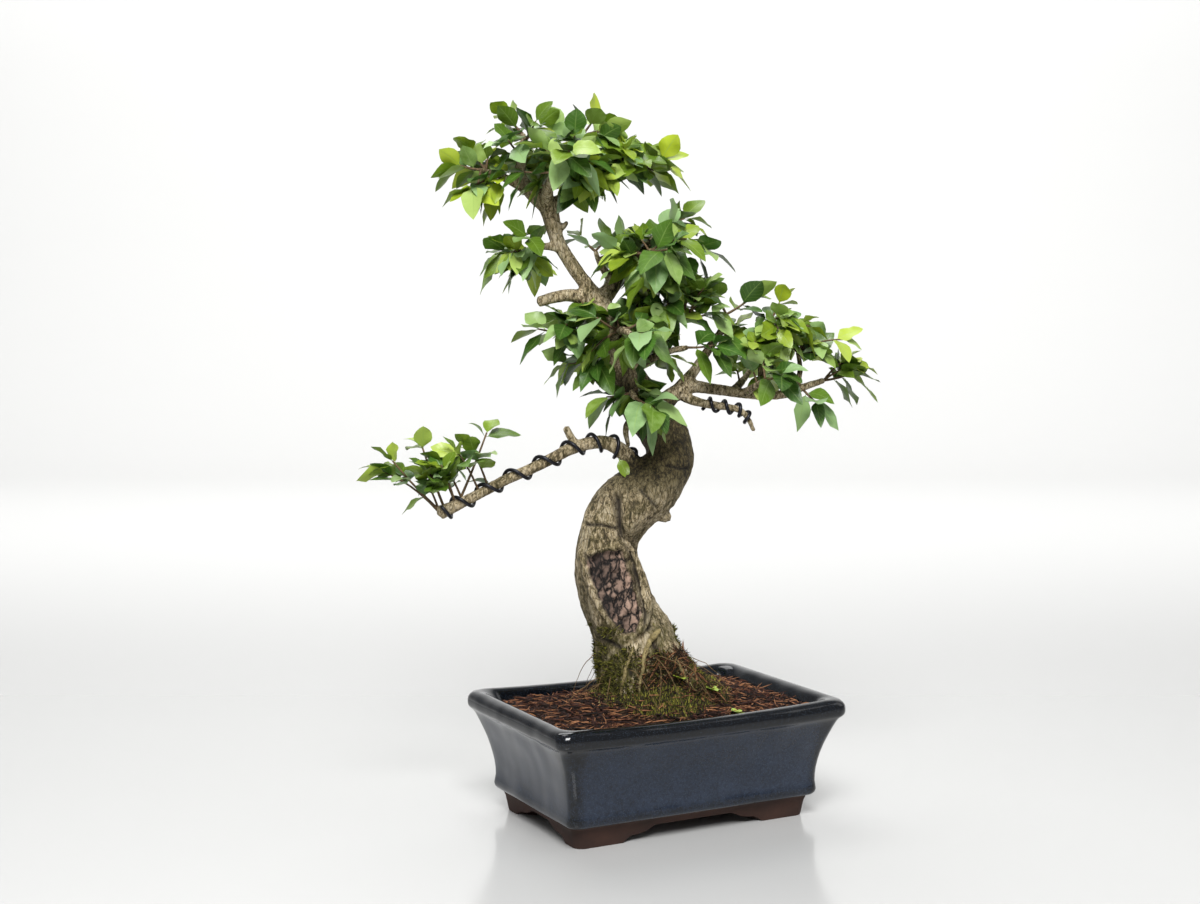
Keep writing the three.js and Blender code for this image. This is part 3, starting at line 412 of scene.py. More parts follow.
class SoilSettings(bpy.types.PropertyGroup):
    """Sizes, colours and counts of the soil and moss."""
    earth: colour_property("Earth", "#120a06", "Damp compost between the fibres")
    fibre: colour_property("Fibre", "#9c6c4a", "Dry coir fibre")
    crumb: length_property("Crumb", 3.4, "Size of a bark crumb")
    crumbs: IntProperty(name="Crumbs", description="Bark crumbs", default=2200, min=0)
    fibres: IntProperty(name="Fibres", description="Coir fibres", default=3600, min=0)
    moss_dark: colour_property("Dark moss", "#38370f", "Moss in the shade")
    moss_light: colour_property("Light moss", "#98953a", "Fresh moss tips")
    tufts: IntProperty(name="Tufts", description="Moss spikes", default=17000, min=0)


class WoodSettings(bpy.types.PropertyGroup):
    """Sizes and colours of the wood."""
    grain: length_property("Grain", 1.3, "Mesh size of the bark")
    bark_light: colour_property("Light bark", "#a89777", "Dry ridges of the bark")
    bark_dark: colour_property("Dark bark", "#2e2618", "Hollows of the bark")
    algae: colour_property("Algae", "#4a4616", "Green film low on the trunk")
    dead_dark: colour_property("Dark deadwood", "#15100e", "Rotten wood in the hollow")
    dead_light: colour_property("Light deadwood", "#b39684", "Dry plates in the hollow")
    root: colour_property("Root", "#9a8a5c", "Bare surface roots")


class WireSettings(bpy.types.PropertyGroup):
    """Size and colour of the training wire."""
    radius: length_property("Radius", WIRE_RADIUS, "Half the wire's thickness")
    wire: colour_property("Wire", "#1c1c20", "Anodised coat of the wire")


class LeafSettings(bpy.types.PropertyGroup):
    """Sizes and colours of the leaves."""
    thickness: length_property("Thickness", 0.35, "Thickness of a blade")
    old: colour_property("Old leaf", "#4d7829", "Grown leaf")
    sage: colour_property("Sage leaf", "#9fc084", "Grown leaf with a waxy bloom")
    young: colour_property("Young leaf", "#bccd38", "Leaf at a shoot's tip")
    twig: colour_property("Twig", "#6b563a", "Thin brown twigs")


class StageSettings(bpy.types.PropertyGroup):
    """The floor, lights and camera."""
    floor: colour_property("Floor", "#bebebd", "Pale floor and backdrop")
    lens: FloatProperty(name="Lens", description="Focal length in millimetres on a 36 mm sensor",
                        default=52.5, min=1)
    yaw: FloatProperty(name="Yaw", description="Camera's turn to the right of +Y",
                       default=math.radians(27.7), unit="ROTATION", subtype="ANGLE")
    pitch: FloatProperty(name="Pitch", description="Camera's tilt above the horizon",
                         default=math.radians(-4.5), unit="ROTATION", subtype="ANGLE")


def from_view(points):
    """Points of the tree's view, in millimetres, as places of the frame in metres."""
    points = np.atleast_2d(np.asarray(points, float))
    cos, sin = math.cos(TREE_TURN), math.sin(TREE_TURN)
    turned = np.stack([points[:, 0] * cos - points[:, 1] * sin,
                       points[:, 0] * sin + points[:, 1] * cos, points[:, 2]], 1)
    return turned * MM + SHIFT


def to_view(places):
    """Places of the frame as points of the tree's view, in millimetres."""
    points = (np.asarray(places, float) - SHIFT) / MM
    cos, sin = math.cos(-TREE_TURN), math.sin(-TREE_TURN)
    return np.stack([points[:, 0] * cos - points[:, 1] * sin,
                     points[:, 0] * sin + points[:, 1] * cos, points[:, 2]], 1)


def unit(vectors):
    vectors = np.asarray(vectors, float)
    return vectors / np.maximum(np.linalg.norm(vectors, axis=-1, keepdims=True), 1e-12)


def along_route(rows, shares):
    """Points and radii at shares of a route, by the same smooth curve as the solids."""
    rows = np.asarray(rows, float)
    line = np.vstack([2 * rows[0] - rows[1], rows, 2 * rows[-1] - rows[-2]])
    x = np.atleast_1d(np.asarray(shares, float)) * (len(rows) - 1)
    i = np.clip(x.astype(int), 0, len(rows) - 2)
    f = (x - i)[:, None]
    before, a, b, after = line[i], line[i + 1], line[i + 2], line[i + 3]
    leave, reach = (b - before) / 2, (after - a) / 2
    q = (a + leave * f + (3 * b - 3 * a - 2 * leave - reach) * f ** 2
         + (2 * a - 2 * b + leave + reach) * f ** 3)
    return q[:, :3], q[:, 3]


def carried_normals(tangents):
    """Normals that turn as little as they can along a route."""
    normal = np.array([0.0, 1.0, 0.0]) if abs(tangents[0][1]) < 0.8 else np.array([1.0, 0.0, 0.0])
    normals = []
    for tangent in tangents:
        normal = unit(normal - tangent * normal.dot(tangent))
        normals.append(normal)
    return np.array(normals)


def sheet(columns, rows, place):
    """A grid moved to place(u, w); corners that fall together are merged."""
    shape = bmesh.new()
    bmesh.ops.create_grid(shape, x_segments=columns, y_segments=rows, size=0.5)
    flat = np.array([v.co for v in shape.verts])
    for vert, spot in zip(shape.verts, place(flat[:, 0] + 0.5, flat[:, 1] + 0.5)):
        vert.co = spot
    bmesh.ops.remove_doubles(shape, verts=shape.verts, dist=1e-6)
    bmesh.ops.dissolve_degenerate(shape, edges=shape.edges, dist=1e-7)
    bmesh.ops.recalc_face_normals(shape, faces=shape.faces)
    return shape


def tube(centres, radii, sides, lobes=None):
    """A closed bar with round ends along places in metres."""
    centres, radii = np.asarray(centres, float), np.asarray(radii, float)
    count = len(centres)
    tangents = unit(np.gradient(centres, axis=0))
    normals = carried_normals(tangents)
    across = np.cross(normals, tangents)

    def place(u, w):
        row = np.rint(w * (count + 1)).astype(int) - 1
        ring = np.clip(row, 0, count - 1)
        angle = np.rint(u * sides) % sides * 2 * math.pi / sides
        reach = np.where((row < 0) | (row >= count), 0, radii[ring])
        if lobes:
            reach = reach * lobes(angle, ring / (count - 1))
        ends = tangents[ring] * (np.where(row >= count, 0.5, 0) - np.where(row < 0, 0.5, 0))[:, None]
        out = normals[ring] * np.cos(angle)[:, None] + across[ring] * np.sin(angle)[:, None]
        return centres[ring] + out * reach[:, None] + ends * radii[ring][:, None]

    return sheet(sides, count + 1, place)


def mesh_from(shapes):
    """One mesh of several bmesh shapes, which are freed."""
    mesh = bpy.data.meshes.new("part")
    whole = bmesh.new()
    for shape in shapes:
        shape.to_mesh(mesh)
        shape.free()
        whole.from_mesh(mesh)
    whole.to_mesh(mesh)
    whole.free()
    return mesh


def piece(name, mesh, materials, replaces=(), smooth=True, sharp=None):
    """A finished piece of the object in the frame."""
    mesh.name = name
    made = bpy.data.objects.new(name, mesh)
    bpy.context.scene.collection.objects.link(made)
    for material in materials:
        mesh.materials.append(material)
    mesh.polygons.foreach_set("use_smooth", [smooth] * len(mesh.polygons))
    if sharp:
        mesh.set_sharp_from_angle(angle=math.radians(sharp))
    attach(made, "root")
    if replaces:
        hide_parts(*replaces)
    return made


def finished(made):
    """The mesh of an object with its modifiers applied; the object goes."""
    graph = bpy.context.evaluated_depsgraph_get()
    mesh = bpy.data.meshes.new_from_object(made.evaluated_get(graph))
    bpy.data.objects.remove(made)
    return mesh


def loose(mesh):
    made = bpy.data.objects.new("loose", mesh)
    bpy.context.scene.collection.objects.link(made)
    return made


def cut_out(body, tool):
    """The mesh of some shapes with others cut out of it."""
    body, tool = loose(mesh_from(body)), loose(mesh_from(tool))
    cut = body.modifiers.new("cut", "BOOLEAN")
    cut.object = tool
    cut.solver = "EXACT"
    mesh = finished(body)
    bpy.data.objects.remove(tool)
    return mesh


def places_of(mesh):
    flat = np.empty(len(mesh.vertices) * 3, np.float32)
    mesh.vertices.foreach_get("co", flat)
    return flat.reshape(-1, 3).astype(float)


def set_places(mesh, places):
    mesh.vertices.foreach_set("co", np.ascontiguousarray(places, np.float32).ravel())
    mesh.update()


def set_attribute(mesh, name, values):
    attribute = mesh.attributes.new(name, "FLOAT", "POINT")
    attribute.data.foreach_set("value", np.ascontiguousarray(values, np.float32))


def copies(template, shapes, attributes):
    """One mesh of many copies of a template; shapes holds each copy's places."""
    count = len(shapes)
    loops, starts, sizes = [], [], []
    for face in template.polygons:
        starts.append(len(loops))
        loops.extend(face.vertices)
        sizes.append(len(face.vertices))
    verts = len(template.vertices)
    base = np.arange(count)[:, None]
    mesh = bpy.data.meshes.new("copies")
    mesh.vertices.add(verts * count)
    mesh.loops.add(len(loops) * count)
    mesh.polygons.add(len(starts) * count)
    mesh.vertices.foreach_set("co", np.asarray(shapes, np.float32).ravel())
    mesh.loops.foreach_set("vertex_index", (np.array(loops)[None] + base * verts).ravel())
    mesh.polygons.foreach_set("loop_start", (np.array(starts)[None] + base * len(loops)).ravel())
    if template.uv_layers:
        flat = np.empty(len(loops) * 2, np.float32)
        template.uv_layers[0].data.foreach_get("uv", flat)
        layer = mesh.uv_layers.new(name="UVMap")
        layer.data.foreach_set("uv", np.tile(flat, count))
    mesh.update(calc_edges=True)
    mesh.validate()
    for name, values in attributes.items():
        set_attribute(mesh, name, np.repeat(values, verts))
    return mesh


def material(name):
    """A new material and its empty node tree."""
    made = bpy.data.materials.new(name)
    made.use_nodes = True
    made.node_tree.nodes.clear()
    return made, made.node_tree


def add(tree, kind, values=None, links=None, stops=None, **settings):
    """Adds a node; a link comes from an output, or from a node's first output in use."""
    node = tree.nodes.new("ShaderNode" + kind)
    for key, value in settings.items():
        setattr(node, key, value)
    for key, value in (values or {}).items():
        socket = node.inputs[key]
        socket.default_value = (*value, 1) if socket.type == "RGBA" else value
    for key, source in (links or {}).items():
        if isinstance(source, bpy.types.Node):
            source = next(output for output in source.outputs if output.enabled)
        tree.links.new(source, node.inputs[key])
    if stops:
        while len(node.color_ramp.elements) < len(stops):
            node.color_ramp.elements.new(0.5)
        for element, (position, colour) in zip(node.color_ramp.elements, stops):
            element.position = position
            element.color = (*colour, 1)
    return node


def scale_of(size):
    """Texture scale whose lumps are about a size in millimetres."""
    return 1 / (size * MM)


def scaled(colour, share):
    return tuple(c * share for c in colour)


BLACK = (0.0, 0.0, 0.0)
WHITE = (1.0, 1.0, 1.0)

# Inputs of a mix node: A and B of numbers, A and B of colours
NUMBER_A, NUMBER_B, COLOUR_A, COLOUR_B = 2, 3, 6, 7

# Side veins along a leaf, and how far they slant from its rib
SIDE_VEINS = 9
VEIN_SLANT = 3.4


def glazed_stoneware(pot):
    """Stoneware, dipped and fired: glossy blue mottle that breaks black at edges, dull clay foot."""
    made, tree = material("Glazed stoneware, dipped and fired")
    place = add(tree, "TexCoord").outputs["Object"]
    height = add(tree, "SeparateXYZ", links={0: place}).outputs["Z"]
    clouds = add(tree, "TexNoise", {"Scale": scale_of(23.81), "Detail": 4, "Roughness": 0.6},
                 {0: place})
    mottle = add(tree, "TexNoise", {"Scale": scale_of(2.381), "Detail": 3, "Roughness": 0.7},
                 {0: place})
    specks = add(tree, "TexVoronoi", {"Scale": scale_of(1.1111), "Randomness": 1}, {0: place})
    mixed = add(tree, "Math", {1: 0.55}, {0: clouds, 2: mottle}, operation="MULTIPLY_ADD")
    thin = add(tree, "Attribute", attribute_name="thin").outputs["Fac"]
    thick = add(tree, "Math", {1: -0.62}, {0: thin, 2: mixed}, operation="MULTIPLY_ADD")
    middling = [0.5 * (a + b) for a, b in zip(pot.glaze_dark, pot.glaze_blue)]
    glaze = add(tree, "ValToRGB", links={0: thick},
                stops=[(0.3, pot.glaze_dark), (0.62, middling), (0.95, pot.glaze_blue)])
    flecks = add(tree, "ValToRGB", links={0: specks.outputs["Distance"]},
                 stops=[(0.12, WHITE), (0.3, BLACK)])
    pale = add(tree, "Math", {1: 0.22}, {0: flecks}, operation="MULTIPLY")
    flecked = add(tree, "Mix", {COLOUR_B: rgb("#6a7c92")}, {0: pale, COLOUR_A: glaze},
                  data_type="RGBA")
    earth = add(tree, "ValToRGB", links={0: clouds},
                stops=[(0.35, scaled(pot.clay, 0.6)), (0.65, pot.clay)])
    wave = add(tree, "Math", {1: GLAZE_WAVE * MM, 2: pot.glaze_line - GLAZE_WAVE * MM / 2},
               {0: clouds}, operation="MULTIPLY_ADD")
    glazed = add(tree, "Math", links={0: height, 1: wave}, operation="GREATER_THAN")
    colour = add(tree, "Mix", links={0: glazed, COLOUR_A: earth, COLOUR_B: flecked},
                 data_type="RGBA")
    sheen = add(tree, "Mix", {NUMBER_A: 0.82, NUMBER_B: 0.11}, {0: glazed}, data_type="FLOAT")
    pooled = add(tree, "TexNoise", {"Scale": scale_of(38.462), "Detail": 1}, {0: place})
    runs = add(tree, "Bump", {"Strength": 0.5, "Distance": 4 * MM}, {"Height": pooled})
    grain = add(tree, "Bump", {"Strength": 0.1, "Distance": 0.4 * MM},
                {"Height": mottle, "Normal": runs})
    surface = add(tree, "BsdfPrincipled", {"IOR": 1.5},
                  {"Base Color": colour, "Roughness": sheen, "Normal": grain})
    add(tree, "OutputMaterial", links={0: surface})
    return made


def moulded_mesh():
    """Polyethylene mesh, injection moulded: dull black with soft highlights."""
    made, tree = material("Polyethylene mesh, moulded")
    place = add(tree, "TexCoord").outputs["Object"]
    wear = add(tree, "TexNoise", {"Scale": scale_of(1.6667), "Detail": 2}, {0: place})
    colour = add(tree, "ValToRGB", links={0: wear},
                 stops=[(0.3, rgb("#17181a")), (0.7, rgb("#26282a"))])
    surface = add(tree, "BsdfPrincipled", {"IOR": 1.51, "Roughness": 0.55}, {"Base Color": colour})
    add(tree, "OutputMaterial", links={0: surface})
    return made


def coir_compost(soil):
    """Coir and bark compost, milled: dull red-brown, dark and damp middling the fibres."""
    made, tree = material("Coir and bark compost, milled")
    place = add(tree, "TexCoord").outputs["Object"]
    shade = add(tree, "Attribute", attribute_name="shade").outputs["Fac"]
    lumps = add(tree, "TexNoise", {"Scale": scale_of(3.8462), "Detail": 5, "Roughness": 0.7},
                {0: place})
    both = add(tree, "Math", {1: 0.55}, {0: lumps, 2: shade}, operation="MULTIPLY_ADD")
    colour = add(tree, "ValToRGB", links={0: both},
                 stops=[(0.3, soil.earth), (0.68, rgb("#361d15")), (0.9, rgb("#633a28")),
                        (1.0, soil.fibre)])
    green = add(tree, "Attribute", attribute_name="green").outputs["Fac"]
    mossy = add(tree, "Mix", {COLOUR_B: soil.moss_dark}, {0: green, COLOUR_A: colour},
                data_type="RGBA")
    relief = add(tree, "Bump", {"Strength": 0.9, "Distance": 1.2 * MM}, {"Height": lumps})
    surface = add(tree, "BsdfPrincipled", {"IOR": 1.4, "Roughness": 0.92},
                  {"Base Color": mossy, "Normal": relief})
    add(tree, "OutputMaterial", links={0: surface})
    return made


def cushion_moss(soil):
    """Living moss, grown in tufts: soft olive with lighter tips."""
    made, tree = material("Moss, grown in tufts")
    shade = add(tree, "Attribute", attribute_name="shade").outputs["Fac"]
    colour = add(tree, "ValToRGB", links={0: shade},
                 stops=[(0.0, rgb("#33331a")), (0.4, soil.moss_dark), (1.0, soil.moss_light)])
    surface = add(tree, "BsdfPrincipled", {"IOR": 1.4, "Roughness": 0.8}, {"Base Color": colour})
    add(tree, "OutputMaterial", links={0: surface})
    return made


def grown_bark(wood):
    """Bark, grown and weathered: matte ridges and fissures, algae low down, rotten hollow."""
    made, tree = material("Bark, grown and weathered")
    place = add(tree, "TexCoord").outputs["Object"]
    height = add(tree, "SeparateXYZ", links={0: place}).outputs["Z"]
    upright = add(tree, "Mapping", {"Scale": (1, 1, 0.4)}, {0: place})
    patches = add(tree, "TexNoise", {"Scale": scale_of(14.286), "Detail": 4, "Roughness": 0.6},
                  {0: upright})
    fissures = add(tree, "TexNoise",
                   {"Scale": scale_of(2.381), "Detail": 5, "Roughness": 0.75, "Distortion": 0.6},
                   {0: upright})
    plates = add(tree, "TexVoronoi", {"Scale": scale_of(3.3333)}, {0: upright},
                 feature="DISTANCE_TO_EDGE")
    seams = add(tree, "ValToRGB", links={0: plates}, stops=[(0.0, BLACK), (0.09, WHITE)])
    rough = add(tree, "Math", {1: 0.5}, {0: patches, 2: fissures}, operation="MULTIPLY_ADD")
    tint = add(tree, "ValToRGB", links={0: rough},
               stops=[(0.61, wood.bark_dark), (0.69, rgb("#6a5c42")), (0.77, wood.bark_light),
                      (0.88, rgb("#cbbca0"))])
    seamed = add(tree, "Mix", {0: 0.6}, {COLOUR_A: tint, COLOUR_B: seams}, data_type="RGBA",
                 blend_type="MULTIPLY")
    low = add(tree, "MapRange",
              {"From Min": 185 * MM, "From Max": 125 * MM, "To Min": 0.3, "To Max": 0.95},
              {0: height})
    film = add(tree, "TexNoise", {"Scale": scale_of(18.182), "Detail": 6, "Roughness": 0.7},
               {0: place})
    filmed = add(tree, "ValToRGB", links={0: film}, stops=[(0.36, BLACK), (0.55, WHITE)])
    green = add(tree, "Math", links={0: low, 1: filmed}, operation="MULTIPLY")
    mossy = add(tree, "Mix", {COLOUR_B: wood.algae}, {0: green, COLOUR_A: seamed}, data_type="RGBA")
    # Painted shade: the bark colour is darkened towards #1d1610 along the creases cut into the trunk
    crease = add(tree, "Attribute", attribute_name="crease").outputs["Fac"]
    crease_shaded = add(tree, "Mix", {COLOUR_B: rgb("#1d1610")}, {0: crease, COLOUR_A: mossy},
                  data_type="RGBA")
    # Darker and more olive on the trunk from about 250 to 380 mm up, set by height; the attribute
    # named old holds this mask
    old = add(tree, "Attribute", attribute_name="old").outputs["Fac"]
    upper_darkening = add(tree, "Math", {1: 0.9}, {0: old}, operation="MULTIPLY")
    darker = add(tree, "Mix", {COLOUR_B: rgb("#76724c")}, {0: upper_darkening, COLOUR_A: crease_shaded},
                 data_type="RGBA", blend_type="MULTIPLY")
    bend = add(tree, "TexNoise", {"Scale": scale_of(6.25), "Detail": 3}, {0: place})
    bent = add(tree, "VectorMath", {1: (7 * MM, 7 * MM, 7 * MM)},
               {0: bend.outputs["Color"], 2: upright}, operation="MULTIPLY_ADD")
    blocks = add(tree, "TexVoronoi", {"Scale": scale_of(5.5556), "Randomness": 1}, {0: bent})
    gaps = add(tree, "TexVoronoi", {"Scale": scale_of(5.5556), "Randomness": 1}, {0: bent},
               feature="DISTANCE_TO_EDGE")
    dark = add(tree, "ValToRGB", links={0: gaps}, stops=[(0.05, BLACK), (0.26, WHITE)])
    pale = add(tree, "SeparateColor", links={0: blocks.outputs["Color"]})
    dry = add(tree, "Attribute", attribute_name="dry").outputs["Fac"]
    half = add(tree, "Math", {1: 0.5}, {0: dry}, operation="MULTIPLY")
    worn = add(tree, "Math", links={0: pale, 1: fissures, 2: half}, operation="MULTIPLY_ADD",
               use_clamp=True)
    plate = add(tree, "Mix", {COLOUR_A: rgb("#2e231f"), COLOUR_B: wood.dead_light}, {0: worn},
                data_type="RGBA")
    rotten = add(tree, "Mix", {COLOUR_A: wood.dead_dark}, {0: dark, COLOUR_B: plate},
                 data_type="RGBA")
    hollow = add(tree, "Attribute", attribute_name="deadwood").outputs["Fac"]
    colour = add(tree, "Mix", links={0: hollow, COLOUR_A: darker, COLOUR_B: rotten},
                 data_type="RGBA")
    fine = add(tree, "Bump", {"Strength": 0.9, "Distance": 1.2 * MM}, {"Height": fissures})
    cracked = add(tree, "Bump", {"Strength": 0.5, "Distance": 0.8 * MM},
                  {"Height": seams, "Normal": fine})
    surface = add(tree, "BsdfPrincipled", {"IOR": 1.45, "Roughness": 0.85},
                  {"Base Color": colour, "Normal": cracked})
    add(tree, "OutputMaterial", links={0: surface})
    return made


def bare_root(colour, name):
    """Thin root or twig skin, grown in the open: dull and streaked."""
    made, tree = material(name)
    place = add(tree, "TexCoord").outputs["Object"]
    streaks = add(tree, "TexNoise", {"Scale": scale_of(2), "Detail": 4, "Roughness": 0.7},
                  {0: place})
    tint = add(tree, "ValToRGB", links={0: streaks},
               stops=[(0.35, scaled(colour, 0.35)), (0.65, colour)])
    relief = add(tree, "Bump", {"Strength": 0.5, "Distance": 0.5 * MM}, {"Height": streaks})
    surface = add(tree, "BsdfPrincipled", {"IOR": 1.45, "Roughness": 0.8},
                  {"Base Color": tint, "Normal": relief})
    add(tree, "OutputMaterial", links={0: surface})
    return made


def anodised_wire(wire):
    """Anodised aluminium, drawn and annealed: satin black with a soft metal edge."""
    made, tree = material("Anodised aluminium, drawn")
    place = add(tree, "TexCoord").outputs["Object"]
    rub = add(tree, "TexNoise", {"Scale": scale_of(2.8571), "Detail": 3}, {0: place})
    colour = add(tree, "ValToRGB", links={0: rub}, stops=[(0.3, wire), (0.8, scaled(wire, 2.2))])
    surface = add(tree, "BsdfPrincipled", {"Metallic": 0.7, "Roughness": 0.38},
                  {"Base Color": colour})
    add(tree, "OutputMaterial", links={0: surface})
    return made


def waxy_leaf(leaf):
    """Evergreen leaf, grown: waxy gloss, pale veins, and light that comes through young blades."""
    made, tree = material("Evergreen leaf, waxy")
    uv = add(tree, "UVMap", uv_map="UVMap")
    split = add(tree, "SeparateXYZ", links={0: uv})
    place = add(tree, "TexCoord").outputs["Object"]
    tone = add(tree, "Attribute", attribute_name="tone").outputs["Fac"]
    shade = add(tree, "Attribute", attribute_name="shade").outputs["Fac"]
    clouds = add(tree, "TexNoise", {"Scale": scale_of(8.3333), "Detail": 3}, {0: place})
    mixed = add(tree, "Math", {1: 0.5}, {0: clouds, 2: shade}, operation="MULTIPLY_ADD")
    grown = add(tree, "ValToRGB", links={0: mixed},
                stops=[(0.3, scaled(leaf.old, 0.55)), (0.65, leaf.old), (1.0, leaf.sage)])
    fresh = add(tree, "ValToRGB", links={0: mixed},
                stops=[(0.3, rgb("#7c9a22")), (0.9, leaf.young)])
    base = add(tree, "Mix", links={0: tone, COLOUR_A: grown, COLOUR_B: fresh}, data_type="RGBA")
    centred = add(tree, "Math", {1: 0.5}, {0: split.outputs["X"]}, operation="SUBTRACT")
    off_rib = add(tree, "Math", links={0: centred}, operation="ABSOLUTE")
    rib = add(tree, "MapRange", {"From Min": 0.012, "From Max": 0.035, "To Min": 1, "To Max": 0},
              {0: off_rib})
    leaning = add(tree, "Math", {1: -VEIN_SLANT}, {0: off_rib}, operation="MULTIPLY")
    ranked = add(tree, "Math", {1: SIDE_VEINS}, {0: split.outputs["Y"], 2: leaning},
                 operation="MULTIPLY_ADD")
    ladder = add(tree, "Math", {1: 0.5}, {0: ranked}, operation="PINGPONG")
    side = add(tree, "MapRange", {"From Min": 0.02, "From Max": 0.07, "To Min": 0.55, "To Max": 0},
               {0: ladder})
    veins = add(tree, "Math", links={0: rib, 1: side}, operation="MAXIMUM")
    faint = add(tree, "Math", {1: 0.4}, {0: veins}, operation="MULTIPLY")
    veined = add(tree, "Mix", {COLOUR_B: rgb("#9dbb63")}, {0: faint, COLOUR_A: base},
                 data_type="RGBA")
    relief = add(tree, "Bump", {"Strength": 0.35, "Distance": 0.4 * MM}, {"Height": veins},
                 invert=True)
    blade = add(tree, "BsdfPrincipled", {"IOR": 1.5, "Roughness": 0.33},
                {"Base Color": veined, "Normal": relief})
    glow = add(tree, "BsdfTranslucent", links={"Color": veined})
    through = add(tree, "MixShader", {0: 0.28}, {1: blade, 2: glow})
    add(tree, "OutputMaterial", links={0: through})
    return made


def painted_floor(colour):
    """Painted board: pale and even, polished enough in front to mirror what stands on it."""
    made, tree = material("Painted board, satin")
    place = add(tree, "TexCoord").outputs["Object"]
    back = add(tree, "SeparateXYZ", links={0: place}).outputs["Y"]
    dull = add(tree, "MapRange", {"From Min": 0.3, "From Max": 1.2, "To Min": 0.16, "To Max": 0.9},
               {0: back})
    surface = add(tree, "BsdfPrincipled", {"Base Color": colour, "IOR": 1.5}, {"Roughness": dull})
    add(tree, "OutputMaterial", links={0: surface})
    return made


def outline_points():
    """The pot's outline as shares of its straight half sides and angles at its corners."""
    first = [(1, y / 14, 0.0) for y in range(14)]
    first += [(1, 1, math.pi / 2 * i / 10) for i in range(11)]
    first += [(1 - x / 24, 1, math.pi / 2) for x in range(1, 24)]
    second = [(-x, y, math.pi - angle) for x, y, angle in first[1:]]
    half = first + [(0, 1, math.pi / 2)] + second[::-1]
    half += [(-1, 0, math.pi)]
    turned = [(-x, -y, angle + math.pi) for x, y, angle in half[1:-1]]
    return np.array(half + turned)


OUTLINE = outline_points()


def outline_ring(column, inset, corner, length=POT_LENGTH, width=POT_WIDTH):
    """Points of the outline at an inset, in millimetres from the pot's centre."""
    x, y, angle = OUTLINE[column % len(OUTLINE)].T
    return np.stack([x * (length / 2 - inset - corner) + corner * np.cos(angle),
                     y * (width / 2 - inset - corner) + corner * np.sin(angle)], 1)


def foot_lift(ring, column):
    """Height of the foot's edge over the surface, where the bracket cut-outs are."""
    x, y, _ = OUTLINE[column % len(OUTLINE)].T
    steps, lifts = zip(*BRACKET_EDGE)
    front = np.interp(BRACKET_FRONT_HALF - np.abs(ring[:, 0]), steps, lifts, left=0)
    side = np.interp(BRACKET_SIDE_HALF - np.abs(ring[:, 1]), steps, lifts, left=0)
    return np.where(np.abs(y) >= 1, front, np.where(np.abs(x) >= 1, side, 0))


def pot_shape(ripple):
    """The pot from the roof of its foot recess over the rim to its floor."""
    recess = FOOT_RECESS
    rows = [("pole", recess["top"])] + [("roof", share) for share in (0.35, 0.7, 1)]
    rows += [("recess", share) for share in (0.6, 0.25, 0)]
    rows += [("wall", row) for row in POT_SECTION]
    rows += [("floor", share) for share in (0.75, 0.5, 0.25)] + [("pole", FLOOR_TOP)]

    def ring_of(kind, value, column):
        spread = np.zeros((len(column), 3))
        if kind == "pole":
            spread[:, 2] = value
        elif kind in ("roof", "recess"):
            share = value if kind == "roof" else 1
            ring = outline_ring(column, 0, recess["corner"], recess["length"], recess["width"])
            spread[:, :2] = ring * share
            low = foot_lift(ring, column)
            top = recess["top"]
            spread[:, 2] = top if kind == "roof" else low + (top - low) * value
        elif kind == "floor":
            spread[:, :2] = outline_ring(column, 30, 12) * value
            spread[:, 2] = FLOOR_TOP
        else:
            inset, z, corner = value
            spread[:, :2] = outline_ring(column, inset, corner)
            x, _, angle = OUTLINE[column % len(OUTLINE)].T
            sunk = min(max((z - SAG_FROM) / SAG_REACH, 0), 1)
            sag = RIM_SAG * sunk * (1 - x ** 2) * np.abs(np.sin(angle))
            low = foot_lift(spread, column) if z < FOOT_TOP else 0
            spread[:, 2] = z - sag + low * (1 - z / FOOT_TOP)
            out = unit(spread[:, :2])
            if RIPPLE_HEIGHTS[0] < z < RIPPLE_HEIGHTS[1] and inset < RIPPLE_INSET:
                bumps = [noise.noise(Vector((p[0] / RIPPLE_ACROSS, p[1] / RIPPLE_ACROSS,
                                             z / RIPPLE_UP))) for p in spread]
                spread[:, :2] += out * (np.array(bumps) * ripple / MM)[:, None]
        return spread

    def place(u, w):
        column = np.rint(u * len(OUTLINE)).astype(int)
        row = np.rint(w * (len(rows) - 1)).astype(int)
        spots = np.empty((len(u), 3))
        for i, (kind, value) in enumerate(rows):
            on = row == i
            spots[on] = ring_of(kind, value, column[on])
        return spots * MM + SHIFT

    return sheet(len(OUTLINE), len(rows) - 1, place)


def soil_height(x, y):
    """Height of the soil, by the same formula as the solid, in millimetres."""
    mound = np.exp(-((x - MOUND_CENTRE[0]) / MOUND_SPREAD[0]) ** 2
                   - ((y - MOUND_CENTRE[1]) / MOUND_SPREAD[1]) ** 2)
    crumbs = np.sin(x * 0.31 + 1) * np.cos(y * 0.27) + 0.7 * np.sin(x * 0.13 - y * 0.19)
    return SOIL_LEVEL + MOUND_HEIGHT * mound + 0.9 * crumbs


def rough(places, size, seed=0.0):
    """Smooth noise between -1 and 1 at places, with lumps of a size in metres."""
    offset = Vector((seed, 2.3 * seed, 4.1 * seed))
    return np.array([noise.noise(Vector(p) / size + offset) for p in places])


